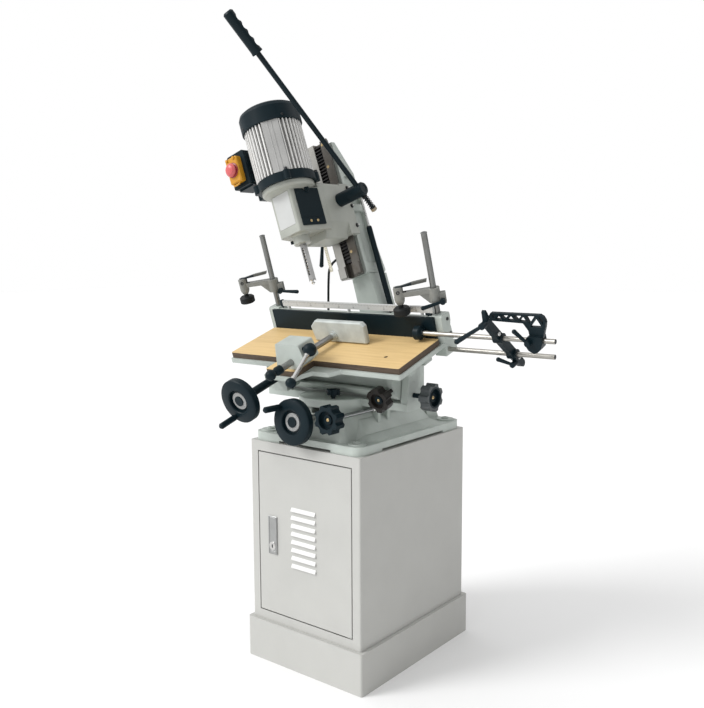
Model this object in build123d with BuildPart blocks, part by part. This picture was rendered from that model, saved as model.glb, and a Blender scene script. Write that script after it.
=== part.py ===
"""Floor mortiser: cabinet stand, cross-sliding tilting table, tilting column with a geared head."""

import os
from math import atan, cos, degrees, pi, radians, sin, sqrt, tan

from build123d import *

os.makedirs("parts", exist_ok=True)

# Settings of the machine, as it stands
COLUMN_TILT = 19.0
TABLE_TILT = 18.0

# Fits and gaps
RUNNING_FIT = 0.05
SLIDE_GAP = 0.3
LOOSE_GAP = 0.5

# Cabinet stand
SHEET = 2.0
PLINTH_WIDTH = 392.0
PLINTH_DEPTH = 495.0
PLINTH_HEIGHT = 110.0
PLINTH_LEDGE = 45.0
ANCHOR_INSET = 24.0
ANCHOR_HOLE_RADIUS = 6.5
CABINET_WIDTH = 371.0
CABINET_DEPTH = 474.0
CABINET_TOP = 600.0
DOOR_WIDTH = 313.0
DOOR_BOTTOM = 138.0
DOOR_TOP = 570.0
DOOR_GAP = 3.0
DOOR_RETURN = 14.0
HINGE_INSET = 6.0
HINGE_DEPTH = 8.0
HINGE_PIN_RADIUS = 3.0
HINGE_LUG = 10.0
LOUVRE_COUNT = 8
LOUVRE_PITCH = 21.5
LOUVRE_WIDTH = 82.0
LOUVRE_HEIGHT = 11.0
LOUVRE_RISE = 5.0
LOUVRE_MIDDLE = 353.0
LOCK_INSET = 49.0
LOCK_X = LOCK_INSET - DOOR_WIDTH / 2
LOCK_Z = 322.0
LOCK_RADIUS = 8.0
LOCK_CAM_REACH = 62.0

# Base casting
BASE_WIDTH = 358.0
BASE_DEPTH = 462.0
FLANGE_THICKNESS = 23.0
FOOT_REACH = 92.0
FOOT_RECESS = 6.0
FOOT_PAD_RADIUS = 24.0
FOOT_PAD_RISE = 4.0
BOLT_HOLE_RADIUS = 6.5
BODY_HALF_WIDTH = 118.0
BODY_FRONT = -212.0
BODY_BACK = 226.0
BODY_HEIGHT = 60.0
BODY_DRAFT = 20.0
PLATEAU_Z = CABINET_TOP + FLANGE_THICKNESS + BODY_HEIGHT
BED_HALF_WIDTH = 45.0
BED_HEIGHT = 18.0
BED_FRONT = -186.0
BED_BACK = 62.0
BED_SLOPE = tan(radians(30.0))
TROUGH_HALF_WIDTH = 13.0
TROUGH_DEPTH = 31.0
TROUGH_FRONT = -186.0
SCREW_Z = 673.0
SCREW_RADIUS = 8.0
SCREW_BACK = 58.0
UPRIGHT_FRONT = 154.0
UPRIGHT_BACK = 202.0
UPRIGHT_HALF_WIDTH = 74.0
LOCK_ROD_X = 105.0
LOCK_ROD_Z = 689.0
LOCK_ROD_RADIUS = 6.0
LOCK_LUG_RADIUS = 11.0
LOCK_COLLAR_RADIUS = 10.0
LOCK_KNOB_Y = -240.0
FLARE_HALF_WIDTH = 164.0
FLARE_HALF_DEPTH = 172.0
FLARE_STEP = 12.0
FLARE_HEIGHT = 46.0
FLARE_SLOPE = 66.0
FLARE_TOP_HALF_WIDTH = 141.0
FLARE_TOP_SLOPE = 39.0
STUD_RADIUS = 5.0

# Column and way, measured from the tilting pivot
PIVOT_Z = 787.0
PIVOT_RADIUS = 20.0
DISC_RADIUS = 78.0
DISC_FRONT = 110.0
DISC_BACK = UPRIGHT_FRONT - 1.0
NECK_HALF_WIDTH = 33.0
NECK_FOOT_HALF_WIDTH = 40.0
NECK_TOP = 250.0
NECK_BACK_BOTTOM = 96.0
COLUMN_HALF_WIDTH = 36.0
COLUMN_FRONT = 94.0
COLUMN_BACK_LOW = 193.0
COLUMN_BACK_HIGH = 165.0
COLUMN_TOP = 640.0
COLUMN_BACK_TOP = 116.0
WAY_FRONT = 70.0
WAY_HALF_WIDTH = 40.0
WAY_BOTTOM = 250.0
WAY_TOP = 648.0
WAY_SLOPE = tan(radians(30.0))
WAY_STOP_HEIGHT = 34.0
WAY_STOP_DEPTH = 6.0
POCKET_DEPTH = 9.0

# Rack and pinion of the head feed
FEED_MODULE = 3.0
FEED_TEETH = 24
PRESSURE_ANGLE = 20.0
TOOTH_BACKLASH = 0.35
RACK_HALF_WIDTH = 12.3
RACK_GROOVE_HALF_WIDTH = 12.5
RACK_BACK = 86.0
RACK_BOTTOM = 292.0
RACK_TOP = 640.0
FEED_AXIS_V = 36.0
FEED_AXIS_W = 455.0
FEED_SHAFT_RADIUS = 15.0
FEED_TAIL_RADIUS = 10.0

# Head
SPINDLE_V = -100.0
CARRIAGE_HALF_WIDTH = 54.0
CARRIAGE_FRONT = -45.0
CARRIAGE_GIB = 50.0
CARRIAGE_BACK = 92.0
CARRIAGE_BOTTOM = 360.0
HEAD_TOP = 505.0
BOX_FRONT = -140.0
BOX_FRONT_HALF_WIDTH = 37.0
BOX_BACK_HALF_WIDTH = 58.0
BOX_BOTTOM = 371.0
BOX_TOP = 488.0
NOSE_RADIUS = 23.5
NOSE_BOTTOM = 346.0
NECK_RADIUS = 72.0
SPINDLE_BORE_RADIUS = 20.0
CHISEL_SIZE = 13.0
CHISEL_TIP = 243.0
CHISEL_SHANK_RADIUS = 9.5
CHISEL_BORE_RADIUS = 5.5
AUGER_RADIUS = 5.0
AUGER_TIP = 234.5
CHUCK_RADIUS = 17.0
CHUCK_BOTTOM = 385.0
CHUCK_TOP = 478.0
COVER_LENGTH = 76.0
COVER_BOTTOM = 384.0
COVER_THICKNESS = 3.0
MOTOR_FLANGE_RADIUS = 80.0
MOTOR_FLANGE_TOP = 530.0
MOTOR_EAR_RADIUS = 10.0
MOTOR_CORE_RADIUS = 71.0
MOTOR_FIN_RADIUS = 78.5
MOTOR_TOP = 670.0
FIN_COUNT = 44
FIN_THICKNESS = 3.0
MOTOR_PANEL_ANGLE = -52.0
MOTOR_PANEL_WIDTH = 46.0
FAN_COVER_RADIUS = 83.0
FAN_COVER_TOP = 724.0
FAN_DOME = 6.0
SWITCH_U = -112.0
SWITCH_WIDTH = 64.0
SWITCH_BACK = -110.0
SWITCH_FRONT = -150.0
SWITCH_BOTTOM = 550.0
SWITCH_TOP = 646.0
HOUSING_WIDTH = 44.0
HOUSING_HEIGHT = 72.0
HOUSING_DEPTH = 18.0
BUTTON_RADIUS = 18.0
BUTTON_DEPTH = 12.0
BUTTON_GAP = 5.0
BUTTON_STEM_RADIUS = 7.0
BUTTON_W = 598.0
BUTTON_SHIFT = -4.0

# Feed lever
HUB_RADIUS = 19.0
HUB_START = CARRIAGE_HALF_WIDTH + 1.0
HUB_END = 143.0
LEVER_U = 129.0
LEVER_LEAN = 37.4
LEVER_RADIUS = 7.0
LEVER_LENGTH = 470.0
TAIL_RADIUS = 5.0
GRIP_START = 440.0
GRIP_LENGTH = 120.0
GRIP_RADIUS = 14.0
GRIP_SCALLOPS = 4
GRIP_TURN = 38.0
FINGER_RADIUS = 16.0
FINGER_DEPTH = 3.5
SPRING_COILS = 5
SPRING_RADIUS = 7.6
SPRING_WIRE = 1.0
SPRING_PITCH = 8.0
SPRING_SEAT = 0.2
SPRING_START = HUB_RADIUS + SPRING_WIRE + SPRING_SEAT
NUT_TOP = SPRING_START + SPRING_COILS * SPRING_PITCH + SPRING_WIRE + 2 * SPRING_SEAT
NUT_HEIGHT = 8.0
LEVER_TAIL = NUT_TOP + NUT_HEIGHT + 2.0

# Gas strut
STRUT_U = 50.0
STRUT_V = 142.0
STRUT_TUBE_RADIUS = 8.0
STRUT_ROD_RADIUS = 4.0
STRUT_TUBE_BOTTOM = 126.0
STRUT_TUBE_TOP = 381.0
STRUT_ROD_TOP = 468.0

# Saddle and tilting cradle
SADDLE_HALF_WIDTH = 93.0
SADDLE_NOSE_Y = -110.0
SADDLE_BACK = 25.0
SADDLE_TOP = 722.0
TILT_Y = -83.0
TILT_Z = 785.0
ARM_HALF_DEPTH = 30.0
ARM_BOTTOM = 701.0
CHEEK_INSIDE = 215.0
CHEEK_OUTSIDE = 235.0
CHEEK_RADIUS = 22.0
TRUNNION_INSIDE = 198.0
TRUNNION_OUTSIDE = 212.0
TRUNNION_RADIUS = 62.0
TILT_PIN_RADIUS = 12.0
TILT_SLOT_RADIUS = 46.0
TILT_STUD_RADIUS = 6.0
TILT_EXTRA = 10.0
TILT_SLOT_END = 9.0
TILT_KNOB_X = 272.0
TABLE_LOCK_X = 205.0
TABLE_LOCK_Y = -98.0
TABLE_LOCK_Z = -12.0
AXIS_BACK = 110.0
AXIS_BELOW = 76.0
BEAM_HALF_DEPTH = 26.0
BEAM_BOTTOM = -26.0
BEAM_TOP = 26.0
CROSS_HALF_WIDTH = 15.0
CROSS_HEIGHT = 19.0

# Handwheels
WHEEL_RADIUS = 59.0
WHEEL_DEPTH = 20.0
WHEEL_GRIP_RADIUS = 8.0
WHEEL_GRIP_LENGTH = 58.0
WHEEL_GRIP_ORBIT = 50.0
DIAL_RADIUS = 23.0
DIAL_BORE_RADIUS = 13.5
FRONT_WHEEL_Y = -262.0
SIDE_WHEEL_X = -131.0
SIDE_WHEEL_Y = -241.0
SIDE_WHEEL_Z = 14.0
CROSS_MODULE = 2.0
CROSS_TEETH = 20
RACK_LEFT_REACH = 105.0
RACK_RIGHT_REACH = 135.0
PINION_FRONT = -72.0
PINION_BACK = -54.0

# Table, measured from the middle of its front edge at the top
TABLE_HALF_WIDTH = 280.0
WOOD_THICKNESS = 16.0
PLATE_THICKNESS = 12.0
PLATE_OVERHANG = 3.0
PLATE_BACK = 240.0
TONGUE_LEFT = -85.0
TONGUE_RIGHT = 15.0
TONGUE_REACH = 70.0
FENCE_Y = 180.0
FENCE_FACE = 8.0
FENCE_HEIGHT = 55.0
FENCE_HALF_WIDTH = 255.0
BRACKET_OUTSIDE = 292.0
BRACKET_TOP = 58.0
POST_X = 270.0
POST_Y = 208.0
POST_RADIUS = 7.5
POST_TOP = 266.0
SCALE_BOTTOM = 64.0
SCALE_TOP = 80.0
SCALE_LEFT = -235.0
SCALE_RIGHT = 270.0

# Vise
VISE_ROD_Z = 20.0
VISE_ROD_RADIUS = 8.5
VISE_ROD_FRONT = -102.0
BLOCK_FRONT = -60.0
BLOCK_BACK = -5.0
BLOCK_HEIGHT = 67.0
JAW_FRONT = 112.0
JAW_BACK = 126.0
JAW_LEFT = -75.0
JAW_RIGHT = 105.0
JAW_BOTTOM = 2.0
JAW_TOP = 59.0
VISE_BALL_RADIUS = 13.5
VISE_LEVER_X = 58.0
VISE_LEVER_Y = -46.0
VISE_LEVER_Z = 52.0
VISE_SHAFT_RADIUS = 6.0
JAW_CUT = 18.0
JAW_BEVEL = 3.0

# Hold-downs
ARM_REACH = 87.0
ARM_TURN = 29.0
RIGHT_ARM_Z = 107.0
LEFT_ARM_Z = 120.0
COLLAR_RADIUS = 15.0
COLLAR_HALF_HEIGHT = 18.0
PAD_RADIUS = 21.0
PLUNGER_RADIUS = 6.0
CAM_Z = 21.0
CAM_RADIUS = 9.0
CAM_THROW = 2.0
CAM_PIN_RADIUS = 3.0
FORK_RADIUS = 13.0

# Length stop
STOP_ROD_RADIUS = 6.0
GUIDE_ROD_Y = 212.0
GUIDE_ROD_Z = -40.3
GUIDE_BLOCK_LEFT = 250.0
GUIDE_ROD_LEFT = GUIDE_BLOCK_LEFT + 2
GUIDE_ROD_RIGHT = 570.4
STOP_ROD_Y = 160.0
STOP_ROD_Z = 22.5
STOP_ROD_LEFT = 252.0
STOP_ROD_RIGHT = 603.0
LINK_X = 462.0
LINK_THICKNESS = 14.0
LINK_HALF_WIDTH = 11.0
LINK_EYE_RADIUS = 12.5
LINK_TAIL = 47.0
LOWER_LEVER_ALONG = 32.0
FLIP_X = 551.0
FLIP_LEVER_X = 545.0
FLIP_HUB_HALF_DEPTH = 13.0
HORN_RUN = -43.4
HORN_RISE = 55.8
HORN_RADIUS = 9.0
SPIKE_RISE = 32.0

# Mains lead
CORD_RADIUS = 3.5
CORD_SIDES = 6
GLAND_V = 104.0
GLAND_W = 325.0
GLAND_LENGTH = 22.0
COIL_RADIUS = 45.0
COIL_STEP = 4.2
COIL_HALF_TURNS = 3
COIL_X = -120.0
COIL_Y = 360.0
LAYER_RISE = 8.0
COIL_TAIL = 44.0


def level(frame, height=0.0):
    """Plane of a frame seen from above: x to the right, y to the back, normal up."""
    return frame.offset(height)


def front(frame, depth=0.0):
    """Plane of a frame seen from the front: x to the right, y up, normal to the front."""
    return Plane(origin=frame.from_local_coords((0, depth, 0)), x_dir=frame.x_dir, z_dir=-frame.y_dir)


def side(frame, across=0.0):
    """Plane of a frame seen from the right: x to the back, y up, normal to the right."""
    return Plane(origin=frame.from_local_coords((across, 0, 0)), x_dir=frame.y_dir, z_dir=frame.x_dir)


def at(frame, x=0.0, y=0.0, z=0.0):
    """The same frame carried to a point given on its own axes."""
    return Plane(origin=frame.from_local_coords((x, y, z)), x_dir=frame.x_dir, z_dir=frame.z_dir)


def turned_to(frame, angle):
    """The same frame turned about its own upright axis."""
    x_dir = frame.x_dir * cos(radians(angle)) + frame.y_dir * sin(radians(angle))
    return Plane(origin=frame.origin, x_dir=x_dir, z_dir=frame.z_dir)


def block(frame, x, y, z, mode=Mode.ADD):
    """Box between pairs of values on the frame's axes."""
    with BuildSketch(level(frame, z[0])) as outline:
        with Locations(((x[0] + x[1]) / 2, (y[0] + y[1]) / 2)):
            Rectangle(x[1] - x[0], y[1] - y[0])
    extrude(outline.sketch, amount=z[1] - z[0], mode=mode)


def rod(frame, radius, length, mode=Mode.ADD):
    """Round bar from the frame's origin along its normal."""
    with BuildSketch(frame) as outline:
        Circle(radius)
    extrude(outline.sketch, amount=length, mode=mode)


def prism(plane, points, amount, corner=0.0, mode=Mode.ADD):
    """Polygon on a plane, its corners rounded, drawn out along the normal."""
    with BuildSketch(plane) as outline:
        Polygon(*points, align=None)
        if corner > 0:
            fillet(outline.vertices(), corner)
    extrude(outline.sketch, amount=amount, mode=mode)


def turned(frame, profile, mode=Mode.ADD):
    """Round form about the frame's normal from a profile of radii and heights."""
    with BuildSketch(front(frame)) as outline:
        Polygon(*profile, align=None)
    revolve(outline.sketch, axis=Axis(frame.origin, frame.z_dir), mode=mode)


def taper_bar(frame, start, end, start_radius, end_radius):
    """Round bar that tapers between two points given on the frame's axes."""
    first = frame.from_local_coords(start)
    last = frame.from_local_coords(end)
    along = last - first
    turned(
        Plane(origin=first, z_dir=along),
        [(0, 0), (start_radius, 0), (end_radius, along.length), (0, along.length)],
    )


def ball(frame, radius):
    """Ball about the frame's origin."""
    with Locations(frame.location):
        Sphere(radius)


def lobed_knob(frame, radius, thickness, lobes, stud_radius, stud_length):
    """Hollow-faced knob with lobes and a stud; the frame's normal points out of its face."""
    with BuildSketch(frame) as outline:
        Circle(radius)
        with PolarLocations(radius * 1.12, lobes):
            Circle(radius * 0.3, mode=Mode.SUBTRACT)
    extrude(outline.sketch, amount=thickness)
    rod(at(frame, z=thickness * 0.6), radius * 0.62, thickness, mode=Mode.SUBTRACT)
    rod(at(frame, z=-thickness * 0.4), radius * 0.45, thickness * 0.4)
    rod(at(frame, z=-stud_length), stud_radius, stud_length)


def clamp_lever(frame, reach, rise, hub_radius=8.0, hub_height=16.0):
    """Clamp lever turning about the frame's normal, its arm along the frame's x."""
    rod(frame, hub_radius, hub_height)
    middle = hub_height * 0.6
    taper_bar(frame, (0, 0, middle), (reach, 0, middle + rise), hub_radius * 0.5, hub_radius * 0.75)
    ball(at(frame, reach, 0, middle + rise), hub_radius * 0.8)


def handwheel(frame, grip_angle):
    """Dished wheel with a crank grip; the frame's normal points to the operator."""
    turned(
        frame,
        [
            (SCREW_RADIUS, -8),
            (18, -8),
            (18, 0),
            (47, 2),
            (47, -2),
            (WHEEL_RADIUS - 2, -2),
            (WHEEL_RADIUS, 0),
            (WHEEL_RADIUS, WHEEL_DEPTH - 4),
            (WHEEL_RADIUS - 2, WHEEL_DEPTH - 2),
            (51, WHEEL_DEPTH - 2),
            (46, 9),
            (DIAL_RADIUS, 9),
            (DIAL_RADIUS, 12),
            (DIAL_BORE_RADIUS, 12),
            (DIAL_BORE_RADIUS, 15),
            (0, 15),
            (0, 9),
            (SCREW_RADIUS, 9),
        ],
    )
    turn = radians(grip_angle)
    grip = at(frame, WHEEL_GRIP_ORBIT * cos(turn), WHEEL_GRIP_ORBIT * sin(turn), WHEEL_DEPTH - 3)
    turned(
        grip,
        [
            (0, -8),
            (WHEEL_GRIP_RADIUS * 0.7, -8),
            (WHEEL_GRIP_RADIUS * 0.7, 3),
            (WHEEL_GRIP_RADIUS, 6),
            (WHEEL_GRIP_RADIUS, WHEEL_GRIP_LENGTH - 4),
            (WHEEL_GRIP_RADIUS - 3, WHEEL_GRIP_LENGTH),
            (0, WHEEL_GRIP_LENGTH),
        ],
    )


def involute_radius_angle(base_radius, radius):
    """Angle of the involute at a radius."""
    slope = sqrt(max((radius / base_radius) ** 2 - 1, 0))
    return slope - atan(slope)


def pinion(plane, module, teeth, width, phase, mode=Mode.ADD):
    """Involute spur pinion on a plane, one tooth gap turned to the phase angle."""
    pitch_radius = module * teeth / 2
    base_radius = pitch_radius * cos(radians(PRESSURE_ANGLE))
    tip_radius = pitch_radius + module
    root_radius = pitch_radius - 1.25 * module
    half_tooth = (pi * module / 2 - TOOTH_BACKLASH) / 2 / pitch_radius
    offset = half_tooth + involute_radius_angle(base_radius, pitch_radius)
    steps = [base_radius + (tip_radius - base_radius) * i / 3 for i in range(4)]
    points = []
    for tooth in range(teeth):
        middle = phase + (tooth + 0.5) * 2 * pi / teeth
        flank = [(r, offset - involute_radius_angle(base_radius, r)) for r in steps]
        rising = [(root_radius, flank[0][1])] + flank
        falling = rising[::-1]
        points += [(r * cos(middle - a), r * sin(middle - a)) for r, a in rising]
        points += [(r * cos(middle + a), r * sin(middle + a)) for r, a in falling]
    prism(plane, points, width, mode=mode)


def rack_profile(module, pitch_line, back, first, last, tooth_middle):
    """Points of a rack: along its length first, depth second, teeth towards lower depth."""
    pitch = pi * module
    lean = tan(radians(PRESSURE_ANGLE))
    half_tooth = pitch / 4 - TOOTH_BACKLASH / 2
    tip = pitch_line - module
    root = pitch_line + 1.25 * module
    points = [(first, back), (first, root)]
    start = int((first - tooth_middle) / pitch) + 1
    middle = tooth_middle + start * pitch
    while middle + half_tooth + 1.25 * module * lean < last:
        if middle - half_tooth - 1.25 * module * lean > first:
            points.append((middle - half_tooth - 1.25 * module * lean, root))
            points.append((middle - half_tooth + module * lean, tip))
            points.append((middle + half_tooth - module * lean, tip))
            points.append((middle + half_tooth + 1.25 * module * lean, root))
        middle += pitch
    points += [(last, root), (last, back)]
    return points


def biarc(start, start_way, end, end_way):
    """Two tangent arcs in the open line between two points with given directions."""
    chord = end - start
    ways = start_way + end_way
    spare = 4 - ways.dot(ways)
    along = chord.dot(ways)
    reach = (sqrt(along**2 + spare * chord.dot(chord)) - along) / spare
    joint = (start + start_way * reach + end - end_way * reach) * 0.5
    joint_way = (end - end_way * reach - start - start_way * reach).normalized()
    TangentArc(start, joint, tangent=start_way)
    TangentArc(joint, end, tangent=joint_way)


def least_gap(path, steps, apart, width):
    """Least clear distance of a wound tube to itself, for stretches that lie apart along it."""
    points = [path @ (i / steps) for i in range(steps + 1)]
    skip = int(apart / path.length * steps) + 1
    least = min((points[i] - points[j]).length for i in range(steps) for j in range(i + skip, steps + 1))
    return least - width


WORLD = Plane.XY
COLUMN = Plane(
    origin=(0, 0, PIVOT_Z),
    x_dir=(cos(radians(COLUMN_TILT)), 0, sin(radians(COLUMN_TILT))),
    z_dir=(-sin(radians(COLUMN_TILT)), 0, cos(radians(COLUMN_TILT))),
)
CRADLE = Plane(
    origin=(0, TILT_Y, TILT_Z),
    x_dir=(1, 0, 0),
    z_dir=(0, -sin(radians(TABLE_TILT)), cos(radians(TABLE_TILT))),
)
TABLE = at(CRADLE, 0, -AXIS_BACK, AXIS_BELOW)
SPINDLE = at(COLUMN, 0, SPINDLE_V, 0)

# Cabinet stand
with BuildPart() as plinth:
    plinth_x = PLINTH_WIDTH / 2
    plinth_y = PLINTH_DEPTH / 2
    block(WORLD, (-plinth_x, plinth_x), (-plinth_y, plinth_y), (0, PLINTH_HEIGHT))
    fillet(plinth.edges().filter_by(Axis.Z), 6)
    inner_x = plinth_x - SHEET
    inner_y = plinth_y - SHEET
    block(WORLD, (-inner_x, inner_x), (-inner_y, inner_y), (SHEET, PLINTH_HEIGHT - SHEET), mode=Mode.SUBTRACT)
    ledge_x = plinth_x - PLINTH_LEDGE
    ledge_y = plinth_y - PLINTH_LEDGE
    block(WORLD, (-ledge_x, ledge_x), (-ledge_y, ledge_y), (0, PLINTH_HEIGHT), mode=Mode.SUBTRACT)
    with BuildSketch(WORLD):
        with GridLocations(2 * (plinth_x - ANCHOR_INSET), 2 * (plinth_y - ANCHOR_INSET), 2, 2):
            Circle(ANCHOR_HOLE_RADIUS)
    extrude(amount=SHEET, mode=Mode.SUBTRACT)
plinth.part.label = "plinth"
export_step(plinth.part, "parts/plinth.step")

cabinet_x = CABINET_WIDTH / 2
cabinet_y = CABINET_DEPTH / 2
door_x = DOOR_WIDTH / 2
hinge_x = door_x - HINGE_INSET
hinge_y = -cabinet_y + HINGE_DEPTH

with BuildPart() as cabinet:
    block(WORLD, (-cabinet_x, cabinet_x), (-cabinet_y, cabinet_y), (PLINTH_HEIGHT, CABINET_TOP))
    fillet(cabinet.edges().filter_by(Axis.Z), 5)
    block(
        WORLD,
        (-cabinet_x + SHEET, cabinet_x - SHEET),
        (-cabinet_y + SHEET, cabinet_y - SHEET),
        (PLINTH_HEIGHT + SHEET, CABINET_TOP - SHEET),
        mode=Mode.SUBTRACT,
    )
    block(
        WORLD,
        (-door_x - DOOR_GAP, door_x + DOOR_GAP),
        (-cabinet_y - SHEET, -cabinet_y + 2 * SHEET),
        (DOOR_BOTTOM - DOOR_GAP, DOOR_TOP + DOOR_GAP),
        mode=Mode.SUBTRACT,
    )
    for lug_bottom in (DOOR_BOTTOM - DOOR_GAP - 2 * SHEET, DOOR_TOP + DOOR_GAP):
        block(
            WORLD,
            (hinge_x - HINGE_LUG, hinge_x + HINGE_LUG),
            (-cabinet_y + SHEET, hinge_y + HINGE_LUG),
            (lug_bottom, lug_bottom + 2 * SHEET),
        )
        rod(
            at(WORLD, hinge_x, hinge_y, lug_bottom),
            HINGE_PIN_RADIUS + RUNNING_FIT,
            2 * SHEET,
            mode=Mode.SUBTRACT,
        )
cabinet.part.label = "cabinet"
export_step(cabinet.part, "parts/cabinet.step")

with BuildPart() as door:
    block(WORLD, (-door_x, door_x), (-cabinet_y, -cabinet_y + DOOR_RETURN), (DOOR_BOTTOM, DOOR_TOP))
    block(
        WORLD,
        (-door_x + SHEET, door_x - SHEET),
        (-cabinet_y + SHEET, -cabinet_y + DOOR_RETURN),
        (DOOR_BOTTOM + SHEET, DOOR_TOP - SHEET),
        mode=Mode.SUBTRACT,
    )
    for i in range(LOUVRE_COUNT):
        foot = LOUVRE_MIDDLE + (i - (LOUVRE_COUNT - 1) / 2) * LOUVRE_PITCH
        prism(
            side(WORLD, -LOUVRE_WIDTH / 2),
            [
                (-cabinet_y, foot),
                (-cabinet_y - LOUVRE_RISE, foot),
                (-cabinet_y - LOUVRE_RISE, foot + 2),
                (-cabinet_y, foot + LOUVRE_HEIGHT),
            ],
            LOUVRE_WIDTH,
        )
        block(
            WORLD,
            (-LOUVRE_WIDTH / 2 + SHEET, LOUVRE_WIDTH / 2 - SHEET),
            (-cabinet_y - LOUVRE_RISE + SHEET, -cabinet_y + SHEET),
            (foot - 1, foot + 3.5),
            mode=Mode.SUBTRACT,
        )
    lock_hole = front(at(WORLD, LOCK_X, -cabinet_y + SHEET, LOCK_Z))
    rod(lock_hole, LOCK_RADIUS + RUNNING_FIT, SHEET, mode=Mode.SUBTRACT)
    for pin_bottom in (DOOR_BOTTOM - DOOR_GAP - SHEET, DOOR_TOP - SHEET):
        rod(at(WORLD, hinge_x, hinge_y, pin_bottom), HINGE_PIN_RADIUS, DOOR_GAP + 2 * SHEET)
door.part.label = "door"
export_step(door.part, "parts/door.step")

with BuildPart() as lock_barrel:
    lock_front = front(at(WORLD, LOCK_X, -cabinet_y + DOOR_RETURN + 2, LOCK_Z))
    rod(lock_front, LOCK_RADIUS, DOOR_RETURN + 7)
    rod(at(lock_front, z=DOOR_RETURN + 2 + LOOSE_GAP), LOCK_RADIUS + 3, 4)
    block(
        WORLD,
        (LOCK_X - LOCK_RADIUS, LOCK_X + LOCK_RADIUS),
        (-cabinet_y + DOOR_RETURN + 1, -cabinet_y + DOOR_RETURN + 4),
        (LOCK_Z - LOCK_CAM_REACH, LOCK_Z + LOCK_RADIUS),
    )
    block(
        WORLD,
        (LOCK_X - 1, LOCK_X + 1),
        (-cabinet_y - 5, -cabinet_y - 3),
        (LOCK_Z - 4, LOCK_Z + 4),
        mode=Mode.SUBTRACT,
    )
lock_barrel.part.label = "lock_barrel"
export_step(lock_barrel.part, "parts/lock_barrel.step")

# Base casting
foot_x = BASE_WIDTH / 2 - 32
foot_y = BASE_DEPTH / 2 - 32
with BuildPart() as base:
    with BuildSketch(level(WORLD, CABINET_TOP)):
        RectangleRounded(BASE_WIDTH, BASE_DEPTH, 26)
    extrude(amount=FLANGE_THICKNESS)
    with BuildSketch(level(WORLD, CABINET_TOP)):
        Rectangle(BASE_WIDTH, BASE_DEPTH - 2 * FOOT_REACH)
        Rectangle(BASE_WIDTH - 2 * FOOT_REACH, BASE_DEPTH)
    extrude(amount=FOOT_RECESS, mode=Mode.SUBTRACT)
    flange_top = CABINET_TOP + FLANGE_THICKNESS
    with BuildSketch(level(WORLD, flange_top)):
        with Locations((0, (BODY_FRONT + BODY_BACK) / 2)):
            RectangleRounded(2 * BODY_HALF_WIDTH, BODY_BACK - BODY_FRONT, 20)
    extrude(amount=BODY_HEIGHT, taper=BODY_DRAFT)
    for half_width, rise, slope in (
        (FLARE_HALF_WIDTH, FLARE_STEP, FLARE_SLOPE),
        (FLARE_TOP_HALF_WIDTH, FLARE_HEIGHT, FLARE_TOP_SLOPE),
    ):
        with BuildSketch(level(WORLD, flange_top)):
            RectangleRounded(2 * half_width, 2 * FLARE_HALF_DEPTH, 40)
        extrude(amount=rise, taper=slope)
    with BuildSketch(level(WORLD, flange_top)):
        with GridLocations(2 * foot_x, 2 * foot_y, 2, 2):
            Circle(FOOT_PAD_RADIUS)
    extrude(amount=FOOT_PAD_RISE)
    with BuildSketch(level(WORLD, CABINET_TOP)):
        with GridLocations(2 * foot_x, 2 * foot_y, 2, 2):
            Circle(BOLT_HOLE_RADIUS)
    extrude(amount=FLANGE_THICKNESS + FOOT_PAD_RISE, mode=Mode.SUBTRACT)
    bed_top_half = BED_HALF_WIDTH + BED_HEIGHT * BED_SLOPE
    prism(
        front(WORLD, BED_BACK),
        [
            (-BED_HALF_WIDTH, PLATEAU_Z),
            (BED_HALF_WIDTH, PLATEAU_Z),
            (bed_top_half, PLATEAU_Z + BED_HEIGHT),
            (-bed_top_half, PLATEAU_Z + BED_HEIGHT),
        ],
        BED_BACK - BED_FRONT,
    )
    block(
        WORLD,
        (-TROUGH_HALF_WIDTH, TROUGH_HALF_WIDTH),
        (TROUGH_FRONT, BED_BACK),
        (PLATEAU_Z - TROUGH_DEPTH, PLATEAU_Z + BED_HEIGHT),
        mode=Mode.SUBTRACT,
    )
    rod(front(at(WORLD, 0, TROUGH_FRONT, SCREW_Z)), SCREW_RADIUS + RUNNING_FIT, 60, mode=Mode.SUBTRACT)
    prism(
        front(WORLD, UPRIGHT_BACK),
        [
            (-UPRIGHT_HALF_WIDTH, flange_top),
            (UPRIGHT_HALF_WIDTH, flange_top),
            (UPRIGHT_HALF_WIDTH, PIVOT_Z),
            (-UPRIGHT_HALF_WIDTH, PIVOT_Z),
        ],
        UPRIGHT_BACK - UPRIGHT_FRONT,
    )
    pivot_front = front(at(WORLD, 0, UPRIGHT_BACK, PIVOT_Z))
    rod(pivot_front, UPRIGHT_HALF_WIDTH, UPRIGHT_BACK - UPRIGHT_FRONT)
    rod(pivot_front, PIVOT_RADIUS + RUNNING_FIT, UPRIGHT_BACK - UPRIGHT_FRONT, mode=Mode.SUBTRACT)
    lug_inside = LOCK_ROD_X - LOCK_LUG_RADIUS
    upright_depth = UPRIGHT_BACK - UPRIGHT_FRONT
    for lug_y, lug_depth, lug_start in (
        (-20, 12, lug_inside),
        (-62, 12, lug_inside),
        (UPRIGHT_BACK, upright_depth, UPRIGHT_HALF_WIDTH - 2),
    ):
        lug_front = front(at(WORLD, LOCK_ROD_X, lug_y, LOCK_ROD_Z))
        rod(lug_front, LOCK_LUG_RADIUS, lug_depth)
        block(
            WORLD,
            (lug_start, LOCK_ROD_X + LOCK_LUG_RADIUS),
            (lug_y - lug_depth, lug_y),
            (flange_top, LOCK_ROD_Z),
        )
        rod(lug_front, LOCK_ROD_RADIUS + RUNNING_FIT, lug_depth, mode=Mode.SUBTRACT)
base.part.label = "base"
export_step(base.part, "parts/base.step")

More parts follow.
